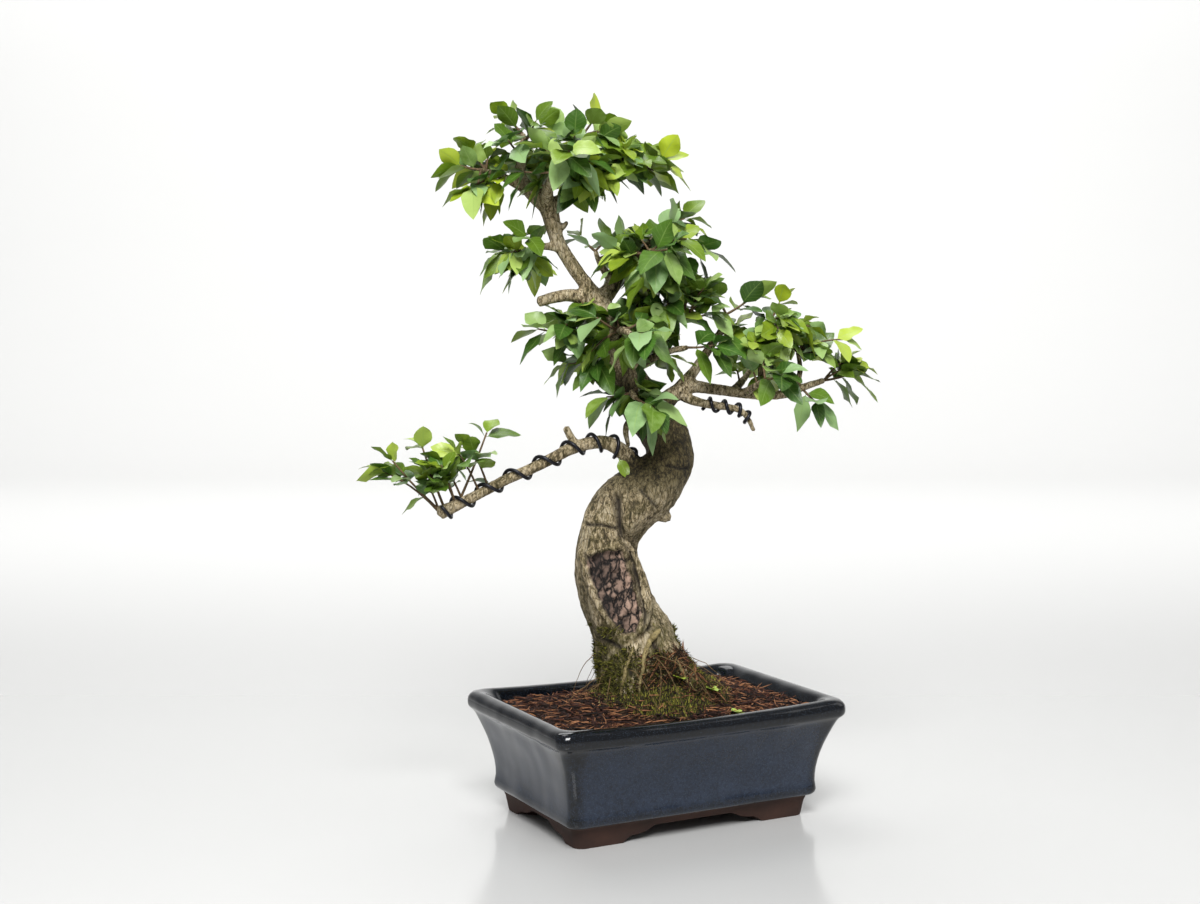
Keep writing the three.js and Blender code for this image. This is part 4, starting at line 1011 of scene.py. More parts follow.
def soil_shape():
    """The soil from its flat underside over its crumbly top; both ends close on the axis."""
    first = len(SOIL_WALL) + 1

    def place(u, w):
        column = np.rint(u * len(OUTLINE)).astype(int)
        row = np.rint(w * (SOIL_RINGS + first)).astype(int)
        spots = np.zeros((len(u), 3))
        spots[:, 2] = FLOOR_TOP + GAP
        for i, (inset, z, corner) in enumerate(SOIL_WALL):
            on = row == i + 1
            spots[on, :2] = outline_ring(column[on], inset, corner)
            spots[on, 2] = z
        on = row >= first
        share = 1 - (row[on] - first) / SOIL_RINGS
        ring = outline_ring(column[on], inset, corner)
        spots[on, :2] = ring * share[:, None]
        spots[on, 2] = soil_height(spots[on, 0], spots[on, 1])
        lumps = rough(spots[on] * MM, 0.011) * 1.6 + rough(spots[on] * MM, 0.004)
        spots[on, 2] += lumps * np.minimum(1, (1 - share) * 30 + 0.2)
        return spots * MM + SHIFT

    return sheet(len(OUTLINE), SOIL_RINGS + first, place)


def trunk_lobes(angle, share):
    return 1 + (1 - share) * (0.07 * np.cos(3 * angle + 5 * share)
                              + 0.04 * np.cos(5 * angle - 9 * share))


def limb_shape(rows, steps, sides, lobes=None):
    """A limb as a closed bar along its route."""
    points, radii = along_route(rows, np.linspace(0, 1, steps))
    return tube(from_view(points), radii * MM, sides, lobes)


def hollowed_trunk():
    """The trunk with its deadwood hollow cut out."""
    shape = bmesh.new()
    shape.from_mesh(cut_out([limb_shape(LIMBS["trunk"], 120, 64, trunk_lobes)],
                            [limb_shape(WOUND, 30, 32)]))
    return shape


def nearness(places, rows, steps):
    """Least distance to a route as a share of its radius there, for each place."""
    points, radii = along_route(rows, np.linspace(0, 1, steps))
    line = from_view(points)
    least = np.full(len(places), 9.0)
    for spot, radius in zip(line, radii * MM):
        least = np.minimum(least, np.linalg.norm(places - spot, axis=1) / radius)
    return least


def ramp(values, start, end):
    """0 at start, 1 at end, smooth between them."""
    share = np.clip((values - start) / (end - start), 0, 1)
    return share * share * (3 - 2 * share)


def between(values, ends):
    """Numbers of the values that lie between two ends."""
    return np.nonzero((values > ends[0]) & (values < ends[1]))[0]


def line_distance(points, route):
    """Distance of flat points to a route of straight stretches."""
    least = np.full(len(points), 1e3)
    for a, b in zip(np.array(route[:-1], float), np.array(route[1:], float)):
        share = np.clip(((points - a) @ (b - a)) / (b - a).dot(b - a), 0, 1)
        least = np.minimum(least, np.linalg.norm(points - a - share[:, None] * (b - a), axis=1))
    return least


def within(points, outline):
    """Distance to a closed outline of flat points: above 0 inside, below 0 outside."""
    corners = np.array(outline + outline[:1], float)
    inside = np.zeros(len(points), bool)
    for (ax, ay), (bx, by) in zip(corners[:-1], corners[1:]):
        crosses = (ay > points[:, 1]) != (by > points[:, 1])
        at = ax + (points[:, 1] - ay) / (by - ay if by != ay else 1e-9) * (bx - ax)
        inside ^= crosses & (points[:, 0] < at)
    return line_distance(points, corners) * np.where(inside, 1, -1)


def bark_relief(mesh):
    """Bark ridges, creases and the rotten plates of the hollow, moved into the skin; also the colour
    masks, one of them painted shade along the creases.
    """
    places = places_of(mesh)
    flat = np.empty(len(places) * 3, np.float32)
    mesh.vertex_normals.foreach_get("vector", flat)
    normals = flat.reshape(-1, 3)
    on_trunk = ramp(nearness(places, LIMBS["trunk"], 90), 1.45, 1.1)
    depth = (0.3 + 0.5 * on_trunk) * rough(places * (1, 1, 0.5), 0.0035, 3)
    depth += (0.2 + 1.3 * on_trunk) * rough(places * (1, 1, 0.6), 0.014, 7)
    seen = to_view(places)
    facing = ramp(-(to_view(normals * MM + SHIFT)[:, 1]), 0.05, 0.4) * (on_trunk > 0.5)
    # The creases are cut into the skin, and their mask paints shade into the bark colour along them
    crease = np.zeros(len(places))
    for route, width, deep in CREASES:
        share = np.exp(-(line_distance(seen[:, [0, 2]], route) / width) ** 2) * facing
        depth -= deep * share
        crease = np.maximum(crease, share)
    rotten = within(seen[:, [0, 2]] + 1.6 * rough(places, 0.006, 4)[:, None], HOLLOW)
    dead = ramp(rotten, -0.9, 1.1) * facing
    depth += 2.2 * np.exp(-((rotten + 2.6) / 2.2) ** 2) * facing * (1 - dead)
    depth -= 2.6 * ramp(rotten, -0.5, 2.5) * facing
    for i in np.nonzero(dead > 0.1)[0]:
        near, cells = noise.voronoi(Vector(places[i] * (1, 1, 0.55)) / 0.0052)
        depth[i] -= dead[i] * (1.4 * max(0, 1 - (near[1] - near[0]) / 0.3)
                               - 2.4 * noise.noise(cells[0] * 3.7))
    set_places(mesh, places + normals * (depth * MM)[:, None])
    # Mask of the painted shade along the creases, kept off the deadwood
    set_attribute(mesh, "crease", 0.94 * crease ** 1.35 * (1 - dead))
    set_attribute(mesh, "deadwood", dead)
    set_attribute(mesh, "dry", ramp(seen[:, 0] + 0.12 * (seen[:, 2] - 190), -42, -20))
    # Mask of a darker, more olive band on the trunk from about 250 to 380 mm up, set by height
    high = places[:, 2]
    set_attribute(mesh, "old", on_trunk * ramp(high, 0.25, 0.29) * (1 - ramp(high, 0.35, 0.38)))


def wood_mesh(grain):
    """All the wood as one skin."""
    shapes = [hollowed_trunk()]
    for name, rows in LIMBS.items():
        if name != "trunk":
            shapes.append(limb_shape(rows, 7 * len(rows), 16))
    wood = loose(mesh_from(shapes))
    skin = wood.modifiers.new("skin", "REMESH")
    skin.mode = "VOXEL"
    skin.voxel_size = grain
    mesh = finished(wood)
    bark_relief(mesh)
    return mesh


def wire_shape(limb, start, end, turns, first, radius):
    """A wire wound round a limb."""
    steps = turns * 26
    shares = np.linspace(start, end, steps + 1)
    points, radii = along_route(LIMBS[limb], shares)
    spots = from_view(points)
    tangents = unit(np.gradient(spots, axis=0))
    normal = np.array([0.0, 0.0, 1.0])
    centres = []
    for i, tangent in enumerate(tangents):
        normal = unit(normal - tangent * normal.dot(tangent))
        side = np.cross(tangent, normal)
        angle = math.radians(first) + i / 26 * 2 * math.pi
        out = normal * math.cos(angle) + side * math.sin(angle)
        centres.append(spots[i] + out * ((radii[i] + GAP) * MM + radius))
    return tube(centres, np.full(len(centres), radius), 10)


# Stations of a leaf from its stalk to its tip, as shares of its length
LEAF_STATIONS = [0, 0.09, 0.16, 0.28, 0.42, 0.58, 0.74, 0.89, 1.0]


def leaf_template():
    """A leaf as a flat double grid that closes along its edge; z tells the upper face."""
    shape = bmesh.new()
    layer = shape.loops.layers.uv.new("UVMap")
    bmesh.ops.create_grid(shape, x_segments=4, y_segments=len(LEAF_STATIONS) - 1, size=0.5)
    for face in shape.faces:
        for loop in face.loops:
            loop[layer].uv = (loop.vert.co.x + 0.5, loop.vert.co.y + 0.5)
    for vert in shape.verts:
        vert.co.z = 0 if vert.is_boundary else 1
    below = bmesh.ops.duplicate(shape, geom=shape.verts[:] + shape.edges[:] + shape.faces[:])
    for vert in (g for g in below["geom"] if isinstance(g, bmesh.types.BMVert)):
        vert.co.z *= -1
    lower = [g for g in below["geom"] if isinstance(g, bmesh.types.BMFace)]
    bmesh.ops.reverse_faces(shape, faces=lower)
    bmesh.ops.remove_doubles(shape, verts=shape.verts, dist=1e-5)
    mesh = bpy.data.meshes.new("leaf")
    shape.to_mesh(mesh)
    shape.free()
    return mesh


def leaf_width(s):
    """Half width at a share of the length, for a half width of 1."""
    blade = np.clip((s - STALK_SHARE) / (1 - STALK_SHARE), 0, 1)
    return 2.88 * blade ** 0.62 * (1 - blade) ** 0.95


def leaf_places(leaf, flat, thickness):
    """Places of a leaf's corners in metres: folded and waved along its rib."""
    root, along, side, normal, length, droop, phase = leaf
    v = flat[:, 0] * 2
    s = np.interp(flat[:, 1] + 0.5, np.linspace(0, 1, len(LEAF_STATIONS)), LEAF_STATIONS)[:, None]
    half = np.maximum(LEAF_HALF_WIDTH * length * leaf_width(s[:, 0]), 0.45 * (s[:, 0] < 0.95))
    mid = root + along * length * s - UP * droop * length * s * s
    wave = LEAF_WAVE * np.sin(9 * s[:, 0] + phase + np.sign(v))
    ripple = 0.15 * np.sin(10 * s[:, 0] + 2 * phase + 1.5 * np.sign(v)) * v ** 2
    lift = half * (np.abs(v) * (LEAF_FOLD + wave) + ripple)
    face = thickness / MM / 2 * flat[:, 2]
    spots = mid + side * (v * half)[:, None] + normal * (lift + face)[:, None]
    return spots * MM + SHIFT


def draws(seed):
    """Seeded draws between 0 and 1, the same as in the solids."""
    state = seed & 0xFFFFFFFF
    while True:
        state = (state * 1664525 + 1013904223) & 0xFFFFFFFF
        yield state / 4294967296


def turned_about(vector, axis, angle):
    return (vector * math.cos(angle) + np.cross(axis, vector) * math.sin(angle)
            + axis * axis.dot(vector) * (1 - math.cos(angle)))


def turned_leaf(root, axis, turn, splay, length, droop, roll, phase):
    """A leaf on its twig: root, direction, side, face, length, droop and wave phase."""
    level = unit(np.cross(UP, axis))
    above = np.cross(axis, level)
    radial = level * math.cos(math.radians(turn)) + above * math.sin(math.radians(turn))
    along = axis * math.cos(math.radians(splay)) + radial * math.sin(math.radians(splay))
    lean = UP + 0.4 * axis - 0.25 * radial
    face = unit(lean - along * lean.dot(along))
    normal = turned_about(face, along, math.radians(roll))
    return root, along, np.cross(along, normal), normal, length, droop, phase


def twig_route(limb, share, heading, rise, length):
    """Start and direction of a spray's twig, in millimetres from the pot's centre."""
    start = (from_view(along_route(LIMBS[limb], share)[0]) - SHIFT)[0] / MM
    out = math.cos(math.radians(rise))
    flat = np.array([[out * math.cos(math.radians(heading)),
                      out * math.sin(math.radians(heading)), math.sin(math.radians(rise))]])
    along = (from_view(flat) - SHIFT)[0] / MM
    return start, along, length


def twig_point(twig, s):
    start, along, length = twig
    return start + along * length * s + UP * 0.12 * length * s * s


def spray_leaves(number):
    """The leaves that the spray's solid holds, found again by the places of their tips."""
    limb, share, heading, rise, length, pairs, size, youth = SPRAYS[number]
    twig = twig_route(limb, share, heading, rise, length)
    solid = places_of(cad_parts[f"spray_{number + 1:02d}"].data)
    draw = draws(7919 * (number + 1))
    first_turn = next(draw) * 90
    leaves = []
    for station in range(pairs + 1):
        last = station == pairs
        s = 1 if last else 0.34 + 0.62 * station / (pairs - 1)
        for half in ([0] if last else [0, 180]):
            turn = first_turn + 90 * station + half + (next(draw) - 0.5) * 40
            splay = (TIP_SPLAY if last else PAIR_SPLAY - 20 * s) + (next(draw) - 0.5) * 24
            blade = size * (0.8 + 0.35 * next(draw)) * (0.85 if last else 1)
            droop = (0.5 - 0.35 * youth) * (0.3 + next(draw))
            roll = (next(draw) - 0.5) * 60
            phase = next(draw) * 6
            for extra in TURNS_TRIED:
                leaf = turned_leaf(twig_point(twig, s * 0.985), twig[1], turn + extra, splay,
                                   blade, droop, roll, phase)
                tip = leaf[0] + leaf[1] * blade - UP * droop * blade
                if np.linalg.norm(solid - (tip * MM + SHIFT), axis=1).min() < 0.4 * MM:
                    leaves.append((leaf, s))
                    break
    return twig, leaves


def leaf_piece(name, leaves, tones, made_of, replaces=()):
    """A piece of many leaves; each carries its tone and a shade of its own."""
    template, leaf_material, thickness, dice = made_of
    flat = places_of(template)
    mesh = copies(template, [leaf_places(leaf, flat, thickness) for leaf in leaves],
                  {"tone": tones, "shade": [dice.random() for _ in leaves]})
    return piece(name, mesh, [leaf_material], replaces, sharp=70)


def limb_spots():
    """Places along the thinner wood that a shoot may grow from, in the tree's view."""
    spots = []
    for name, rows in LIMBS.items():
        if name.startswith("root") or name in ("knob", "left_stub", "dead_twig"):
            continue
        start = 0.74 if name == "trunk" else 0.6 if name == "left" else 0.3
        spots.append(along_route(rows, np.linspace(start, 1, 14))[0])
    return np.vstack(spots)


def shoot(target, spots, youth, dice):
    """A shoot from the nearest wood to a target in the tree's view: its twig and leaves."""
    gaps = np.linalg.norm(spots - target, axis=1)
    base = spots[gaps.argmin()]
    reach = target - base
    control = base + 0.45 * reach + np.array([0, 0, 0.16 * gaps.min()])
    shares = np.linspace(0, 1, 7)[:, None]
    curve = (base * (1 - shares) ** 2 + 2 * control * shares * (1 - shares) + target * shares ** 2)
    curve = (from_view(curve) - SHIFT) / MM
    length = gaps.min()
    pairs = 2 if length < 26 else 3 if length < 44 else 4
    leaves, tones = [], []
    first_turn = dice.uniform(0, 90)
    for station in range(pairs + 1):
        last = station == pairs
        s = 1.0 if last else 1 - 0.19 * (pairs - station) * min(1, 36 / length)
        x = s * (len(curve) - 1)
        i = min(int(x), len(curve) - 2)
        root = curve[i] + (curve[i + 1] - curve[i]) * (x - i)
        axis = unit(curve[i + 1] - curve[i])
        for half in ([0] if last else [0, 180]):
            if dice.random() < 0.08:
                continue
            turn = math.radians(first_turn + 90 * station + half + dice.uniform(-20, 20))
            lift = math.sin(turn) * (0.75 if math.sin(turn) > 0 else 0.3)
            leaves.append(turned_leaf(
                root, axis, math.degrees(math.atan2(lift, math.cos(turn))),
                (20 if last else 62 - 16 * s) + dice.uniform(-20, 20),
                dice.uniform(19, 29) * (0.84 if last else 1),
                0.45 * dice.random(), dice.uniform(-45, 45),
                dice.uniform(0, 6)))
            tones.append(leaf_tone(youth, s, dice))
    return curve, leaves, tones


def leaf_tone(youth, s, dice):
    """0 for a grown leaf to 1 for a fresh one; most fresh ones stand at the tip."""
    return min(1, max(0, youth * (0.35 + 0.8 * (s > 0.8)) + dice.uniform(-0.3, 0.25)))


def unit_ball(dice):
    """A point in a ball of radius 1, more of them near its skin."""
    way = unit([dice.gauss(0, 1) for _ in range(3)])
    return way * dice.random() ** 0.42


def spike(radius, length):
    """A thin three-sided spike that stands on its foot."""
    shape = bmesh.new()
    bmesh.ops.create_cone(shape, cap_ends=True, segments=3, radius1=radius,
                          radius2=radius * 0.12, depth=length)
    bmesh.ops.translate(shape, verts=shape.verts, vec=(0, 0, length / 2))
    mesh = bpy.data.meshes.new("spike")
    shape.to_mesh(mesh)
    shape.free()
    return mesh


def turned_to(direction, dice):
    """A turn that takes +Z to a direction, with a free spin about it."""
    return (Vector(direction).to_track_quat("Z", "Y").to_matrix()
            @ Matrix.Rotation(dice.uniform(0, 6.28), 3, "Z"))


def soil_spot(dice):
    """A random place on the soil's top and the height there, in millimetres."""
    while True:
        x, y = (dice.uniform(-half, half) for half in SOIL_HALF)
        corner = max(abs(x) - SOIL_CORNER[0], 0) ** 2 + max(abs(y) - SOIL_CORNER[1], 0) ** 2
        if corner < SOIL_CORNER_RADIUS ** 2:
            return x, y, float(soil_height(np.array(x), np.array(y)))


# Floor that bends up into a backdrop, in metres: width, front edge, depth, bend, height
BACKDROP = (14, -3, 6, 1.2, 8)

# Lamps: size in metres, watts, degrees right of the pot's front on top of the yaw, degrees up
LAMPS = {"key": (1.1, 84, -58, 44), "fill": (1.6, 7, 40, 30), "top": (1.6, 34, 150, 62)}
LAMP_REACH = 2.4
WASH_SIZE = (3.0, 0.6)
WASH_WATTS = 126
SKY = (0.98, 0.99, 1.0, 1)
SKY_STRENGTH = 0.3
CAMERA_PLACE = (-0.710, -1.255, 0.416)


def hang(light, place, back):
    """Hangs a lamp at a place, to shine away from a direction."""
    lamp = bpy.data.objects.new(light.name, light)
    bpy.context.scene.collection.objects.link(lamp)
    lamp.location = place
    lamp.rotation_euler = back.to_track_quat("Z", "Y").to_euler()


class BONSAI_OT_stage(bpy.types.Operator):
    """Makes the floor, backdrop, lights and camera"""
    bl_idname = "bonsai.stage"
    bl_label = "Stage"

    def execute(self, context):
        stage = context.scene.bonsai_stage
        width, front, depth, bend, height = BACKDROP

        def place(u, w):
            run = w * 3
            turn = np.clip(run - 2, 0, 0.5) * math.pi
            y = front + np.minimum(run / 2, 1) * depth + bend * np.sin(turn)
            z = bend * (1 - np.cos(turn)) + np.clip(run - 2.5, 0, 1) * height
            return np.stack([(u - 0.5) * width, y, z], 1)

        mesh = mesh_from([sheet(2, 60, place)])
        floor = bpy.data.objects.new("floor", mesh)
        context.scene.collection.objects.link(floor)
        floor.rotation_euler = (0, 0, -stage.yaw)
        mesh.materials.append(painted_floor(stage.floor))
        mesh.polygons.foreach_set("use_smooth", [True] * len(mesh.polygons))

        world = bpy.data.worlds.new("Pale studio")
        world.use_nodes = True
        sky = world.node_tree.nodes["Background"]
        sky.inputs["Color"].default_value = SKY
        sky.inputs["Strength"].default_value = SKY_STRENGTH
        context.scene.world = world

        middle = Vector((SHIFT[0], SHIFT[1], 0.3))
        for name, (size, watts, turn, rise) in LAMPS.items():
            light = bpy.data.lights.new(name, "AREA")
            light.size, light.energy = size, watts
            heading, climb = stage.yaw + math.radians(turn), math.radians(rise)
            away = Vector((math.sin(heading) * math.cos(climb),
                           -math.cos(heading) * math.cos(climb), math.sin(climb)))
            hang(light, middle + away * LAMP_REACH, away)

        turned = Matrix.Rotation(-stage.yaw, 3, "Z")
        for side in (-1, 1):
            wash = bpy.data.lights.new("wash", "AREA")
            wash.shape = "RECTANGLE"
            wash.size, wash.size_y = WASH_SIZE
            wash.energy = WASH_WATTS
            hang(wash, turned @ Vector((side * 1.8, 1.3, 2.6)), turned @ Vector((0, -1, 0.35)))

        camera = bpy.data.cameras.new("camera")
        camera.lens = stage.lens
        camera.sensor_width = 36
        camera.clip_start = 0.05
        view = bpy.data.objects.new("camera", camera)
        context.scene.collection.objects.link(view)
        view.location = Vector(CAMERA_PLACE) + Vector(SHIFT)
        view.rotation_euler = Euler((math.pi / 2 + stage.pitch, 0, -stage.yaw))
        context.scene.camera = view
        context.scene.view_settings.view_transform = "Standard"
        return {"FINISHED"}


class BONSAI_OT_pot(bpy.types.Operator):
    """Makes the glazed pot on its bracket feet"""
    bl_idname = "bonsai.pot"
    bl_label = "Pot"

    def execute(self, context):
        settings = context.scene.bonsai_pot
        drills = []
        for side in (-1, 1):
            drill = bmesh.new()
            bmesh.ops.create_cone(drill, cap_ends=True, segments=40, radius1=DRAIN_RADIUS * MM,
                                  radius2=DRAIN_RADIUS * MM, depth=DRILL_LENGTH * MM)
            middle = Vector(SHIFT) + Vector((side * DRAIN_OFFSET, 0, DRILL_MIDDLE)) * MM
            bmesh.ops.translate(drill, verts=drill.verts, vec=middle)
            drills.append(drill)
        mesh = cut_out([pot_shape(settings.ripple)], drills)
        mesh.materials.clear()
        places = (places_of(mesh) - SHIFT) / MM
        rim = ramp(places[:, 2], *THIN_RIM)
        ledge = np.exp(-((places[:, 2] - THIN_LEDGE) / LEDGE_REACH) ** 2)
        far = np.abs(places[:, :2] / THIN_CORNER).min(axis=1)
        edge = ramp(far, 0.93, 1.02) * 0.7
        made = piece("pot_glazed", mesh, [glazed_stoneware(settings)], ["pot"],
                     sharp=38)
        set_attribute(made.data, "thin", np.clip(rim + 0.5 * ledge + edge, 0, 1))
        return {"FINISHED"}


class BONSAI_OT_drain_screens(bpy.types.Operator):
    """Gives the drainage screens their material"""
    bl_idname = "bonsai.drain_screens"
    bl_label = "Drainage screens"

    def execute(self, context):
        finish = moulded_mesh()
        for name in ("drain_screen_left", "drain_screen_right"):
            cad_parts[name].data.materials.clear()
            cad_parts[name].data.materials.append(finish)
        return {"FINISHED"}


class BONSAI_OT_soil(bpy.types.Operator):
    """Makes the soil, its bark crumbs and its coir fibres"""
    bl_idname = "bonsai.soil"
    bl_label = "Soil"

    def execute(self, context):
        settings = context.scene.bonsai_soil
        finish = coir_compost(settings)
        dice = random.Random(SEEDS["soil"])
        mesh = mesh_from([soil_shape()])
        places = places_of(mesh)
        points = (places - SHIFT) / MM
        near = np.hypot(points[:, 0] - MOSS_MIDDLE[0], points[:, 1] - MOSS_MIDDLE[1])
        green = ramp(near + 14 * rough(places, 0.016, 5), 74, 38) * 0.8
        made = piece("soil_bed", mesh, [finish], ["soil"])
        set_attribute(made.data, "green", green)
        set_attribute(made.data, "shade", 0.25 + 0.2 * rough(places, 0.008, 9))

        crumb = bmesh.new()
        bmesh.ops.create_icosphere(crumb, subdivisions=1, radius=0.5)
        template = mesh_from([crumb])
        flat = places_of(template)
        shapes = []
        for _ in range(settings.crumbs):
            x, y, z = soil_spot(dice)
            size = settings.crumb / MM * dice.uniform(0.5, 1.5)
            scale = np.array([dice.uniform(0.7, 1.8), dice.uniform(0.6, 1), dice.uniform(0.35, 0.7)])
            turn = np.array(Euler([dice.uniform(-0.6, 0.6), dice.uniform(-0.6, 0.6),
                                   dice.uniform(0, 6.28)]).to_matrix())
            spots = (flat * scale * size) @ turn.T + (x, y, z + dice.uniform(-0.6, 1.3))
            shapes.append(spots * MM + SHIFT)
        tones = {"shade": [dice.uniform(0, 0.5) for _ in shapes], "green": [0.0] * len(shapes)}
        piece("bark_crumbs", copies(template, shapes, tones), [finish], smooth=False)

        template = fibre_template()
        flat = places_of(template)
        shapes = []
        for _ in range(settings.fibres):
            x, y, z = soil_spot(dice)
            shapes.append(fibre_places(flat, (x, y, z + dice.uniform(0, 2.2)), dice) * MM + SHIFT)
        tones = {"shade": [dice.uniform(0, 1.0) ** 1.5 for _ in shapes], "green": [0.0] * len(shapes)}
        piece("coir_fibres", copies(template, shapes, tones), [finish])
        return {"FINISHED"}


def fibre_template():
    """A straight three-sided fibre of four stretches, one unit long."""
    line = np.stack([np.linspace(-0.5, 0.5, 5), np.zeros(5), np.zeros(5)], 1)
    return mesh_from([tube(line, [0.55, 1, 1, 0.9, 0.3], 3)])


def fibre_places(flat, middle, dice):
    """A fibre bent and laid near a place, in millimetres."""
    length, thick = dice.uniform(5, 18), dice.uniform(0.25, 0.7)
    curl, sway = dice.uniform(-0.35, 0.35), dice.uniform(-0.25, 0.3)
    share = flat[:, 0]
    x = share * length
    y = flat[:, 1] * thick + curl * length * (share ** 2 - 0.08)
    z = flat[:, 2] * thick + sway * length * (0.25 - share ** 2) * 0.5
    turn = np.array(Euler([0, dice.uniform(-0.3, 0.3), dice.uniform(0, 6.28)]).to_matrix())
    return np.stack([x, y, z], 1) @ turn.T + np.array(middle)


class BONSAI_OT_wood(bpy.types.Operator):
    """Makes the trunk, limbs and surface roots"""
    bl_idname = "bonsai.wood"
    bl_label = "Wood"

    def execute(self, context):
        settings = context.scene.bonsai_wood
        piece("tree_bark", wood_mesh(settings.grain), [grown_bark(settings)],
              ["tree_wood"])
        dice = random.Random(SEEDS["wood"])
        skins = ground()
        roots = [laid_root(rows, skins, dice) for rows in SURFACE_ROOTS]
        piece("surface_roots", mesh_from(roots), [bare_root(settings.root, "Root skin, bare")])
        return {"FINISHED"}


# Bare roots that lie on the foot of the trunk as the viewer sees them: across, up, radius
SURFACE_ROOTS = [
    [(-18, 146, 1.0), (-20, 140, 1.4), (-24, 130, 1.5), (-27, 117, 1.4), (-28, 104, 1.1)],
    [(3, 158, 1.8), (-1, 154, 2.4), (-6, 148, 2.3), (-9, 138, 2.0), (-12, 122, 1.7), (-14, 108, 1.4)],
    [(16, 136, 1.0), (22, 126, 1.3), (27, 116, 1.2), (36, 107, 0.9)],
    [(-38, 130, 0.9), (-41, 120, 1.2), (-44, 109, 1.1), (-46, 99, 0.9)],
]


def ground():
    """The bark and the soil, to find places on them."""
    meshes = [bpy.data.objects[name].data for name in ("tree_bark", "soil_bed")]
    return [bvhtree.BVHTree.FromPolygons(places_of(mesh).tolist(),
                                         [tuple(face.vertices) for face in mesh.polygons])
            for mesh in meshes]


def seen_on(skins, across, up, lift=0.0):
    """The place on the front of the bark or soil that the viewer sees there, if any."""
    eye = Vector(from_view((across, -160, up))[0])
    back = Vector((from_view((0, 1, 0)) - from_view((0, 0, 0)))[0]).normalized()
    hits = [hit[3] for hit in (skin.ray_cast(eye, back) for skin in skins) if hit[3]]
    return np.array(eye + back * (min(hits) - lift)) if hits else None


def laid_root(rows, skins, dice):
    """A root laid on the front of the bark and the soil."""
    rows = np.array(rows, float)
    x = np.linspace(0, len(rows) - 1, 24)
    centres, radii = [], []
    for share in x:
        across, up, radius = (np.interp(share, range(len(rows)), rows[:, k]) for k in range(3))
        radius *= dice.uniform(0.82, 1.12) * MM
        spot = seen_on(skins, across + dice.uniform(-0.5, 0.5), up, 0.3 * radius)
        if spot is not None:
            centres.append(spot)
            radii.append(radius)
    return tube(centres, radii, 10)


class BONSAI_OT_moss(bpy.types.Operator):
    """Makes the moss, the coir on the roots and the fine root hairs"""
    bl_idname = "bonsai.moss"
    bl_label = "Moss and root hairs"

    def execute(self, context):
        settings = context.scene.bonsai_soil
        dice = random.Random(SEEDS["moss"])
        template = spike(0.6 * MM, 4.2 * MM)
        flat = places_of(template)
        shapes, shades = [], []
        bark = bpy.data.objects["tree_bark"].data
        skin = places_of(bark)
        low = between(skin[:, 2], MOSS_HEIGHTS)
        patch = rough(skin[low], 0.013, 2) - (skin[low, 2] - 0.136) * 14
        right = ramp(to_view(skin[low])[:, 0], 0, 26)
        low = low[patch > -0.1 + 0.35 * right]
        for _ in range(int(settings.tufts * TUFTS_ON_BARK)):
            i = int(low[dice.randrange(len(low))])
            way = unit(np.array(bark.vertices[i].normal) + 0.5 * UP
                       + [dice.uniform(-0.7, 0.7) for _ in range(3)])
            shapes.append((flat * dice.uniform(0.35, 1.1)) @ np.array(turned_to(way, dice)).T
                          + skin[i])
            shades.append(dice.random() * 0.8)
        while len(shapes) < settings.tufts:
            x, y, z = soil_spot(dice)
            near = math.dist((x, y), MOSS_MIDDLE) + 15 * noise.noise(Vector((x, y, 0)) / 16)
            if near > 58 - 12 * (x > 6) + dice.uniform(-14, 8):
                continue
            way = unit([dice.uniform(-0.6, 0.6), dice.uniform(-0.6, 0.6), 1])
            shapes.append((flat * dice.uniform(0.5, 1.3)) @ np.array(turned_to(way, dice)).T
                          + np.array([x, y, z + 0.3]) * MM + SHIFT)
            shades.append(dice.random() ** 1.4)
        piece("moss_tufts", copies(template, shapes, {"shade": shades}), [cushion_moss(settings)],
              smooth=False)

        template = fibre_template()
        flat = places_of(template)
        slope = between(skin[:, 2], COIR_HEIGHTS)
        slope = slope[to_view(skin[slope])[:, 0] > -14]
        shapes = []
        for _ in range(ROOT_FIBRES):
            i = int(slope[dice.randrange(len(slope))])
            bent = fibre_places(flat, (0, 0, 0.5), dice) * MM
            shapes.append(bent @ np.array(turned_to(bark.vertices[i].normal, dice)).T + skin[i])
        tones = {"shade": [0.9 * dice.random() ** 1.5 for _ in shapes], "green": [0.15] * len(shapes)}
        piece("coir_on_roots", copies(template, shapes, tones),
              [bpy.data.materials["Coir and bark compost, milled"]])

        hairs = []
        for _ in range(ROOT_HAIRS):
            angle = dice.uniform(0, 2 * math.pi)
            out, length = dice.uniform(26, 38), dice.uniform(18, 42)
            top = dice.uniform(104, 138)
            side = angle + dice.uniform(-0.5, 0.5)
            line = []
            for share in np.linspace(0, 1, 9):
                reach = out + length * share
                x = -12 + 10 * share + reach * math.cos(angle + (side - angle) * share)
                y = -4 + reach * math.sin(angle + (side - angle) * share)
                lift = dice.uniform(-0.8, 0.8) + 26 * share * (1 - share) * (top > 122)
                soil_top = float(soil_height(np.array(x), np.array(y)))
                line.append((x, y, max(top + (soil_top - top) * share + lift, soil_top + 0.6)))
            hairs.append(tube(from_view(line), np.linspace(0.42, 0.2, 9) * MM, 4))
        finish = bare_root(rgb("#7d6440"), "Root hair, dried")
        piece("root_hairs", mesh_from(hairs), [finish])
        return {"FINISHED"}


class BONSAI_OT_wires(bpy.types.Operator):
    """Winds the training wires round their limbs"""
    bl_idname = "bonsai.wires"
    bl_label = "Training wires"

    def execute(self, context):
        settings = context.scene.bonsai_wire
        finish = anodised_wire(settings.wire)
        for name, (limb, start, end, turns, first) in WIRES.items():
            shape = wire_shape(limb, start, end, turns, first, settings.radius)
            piece(name + "_wound", mesh_from([shape]), [finish], [name])
        return {"FINISHED"}


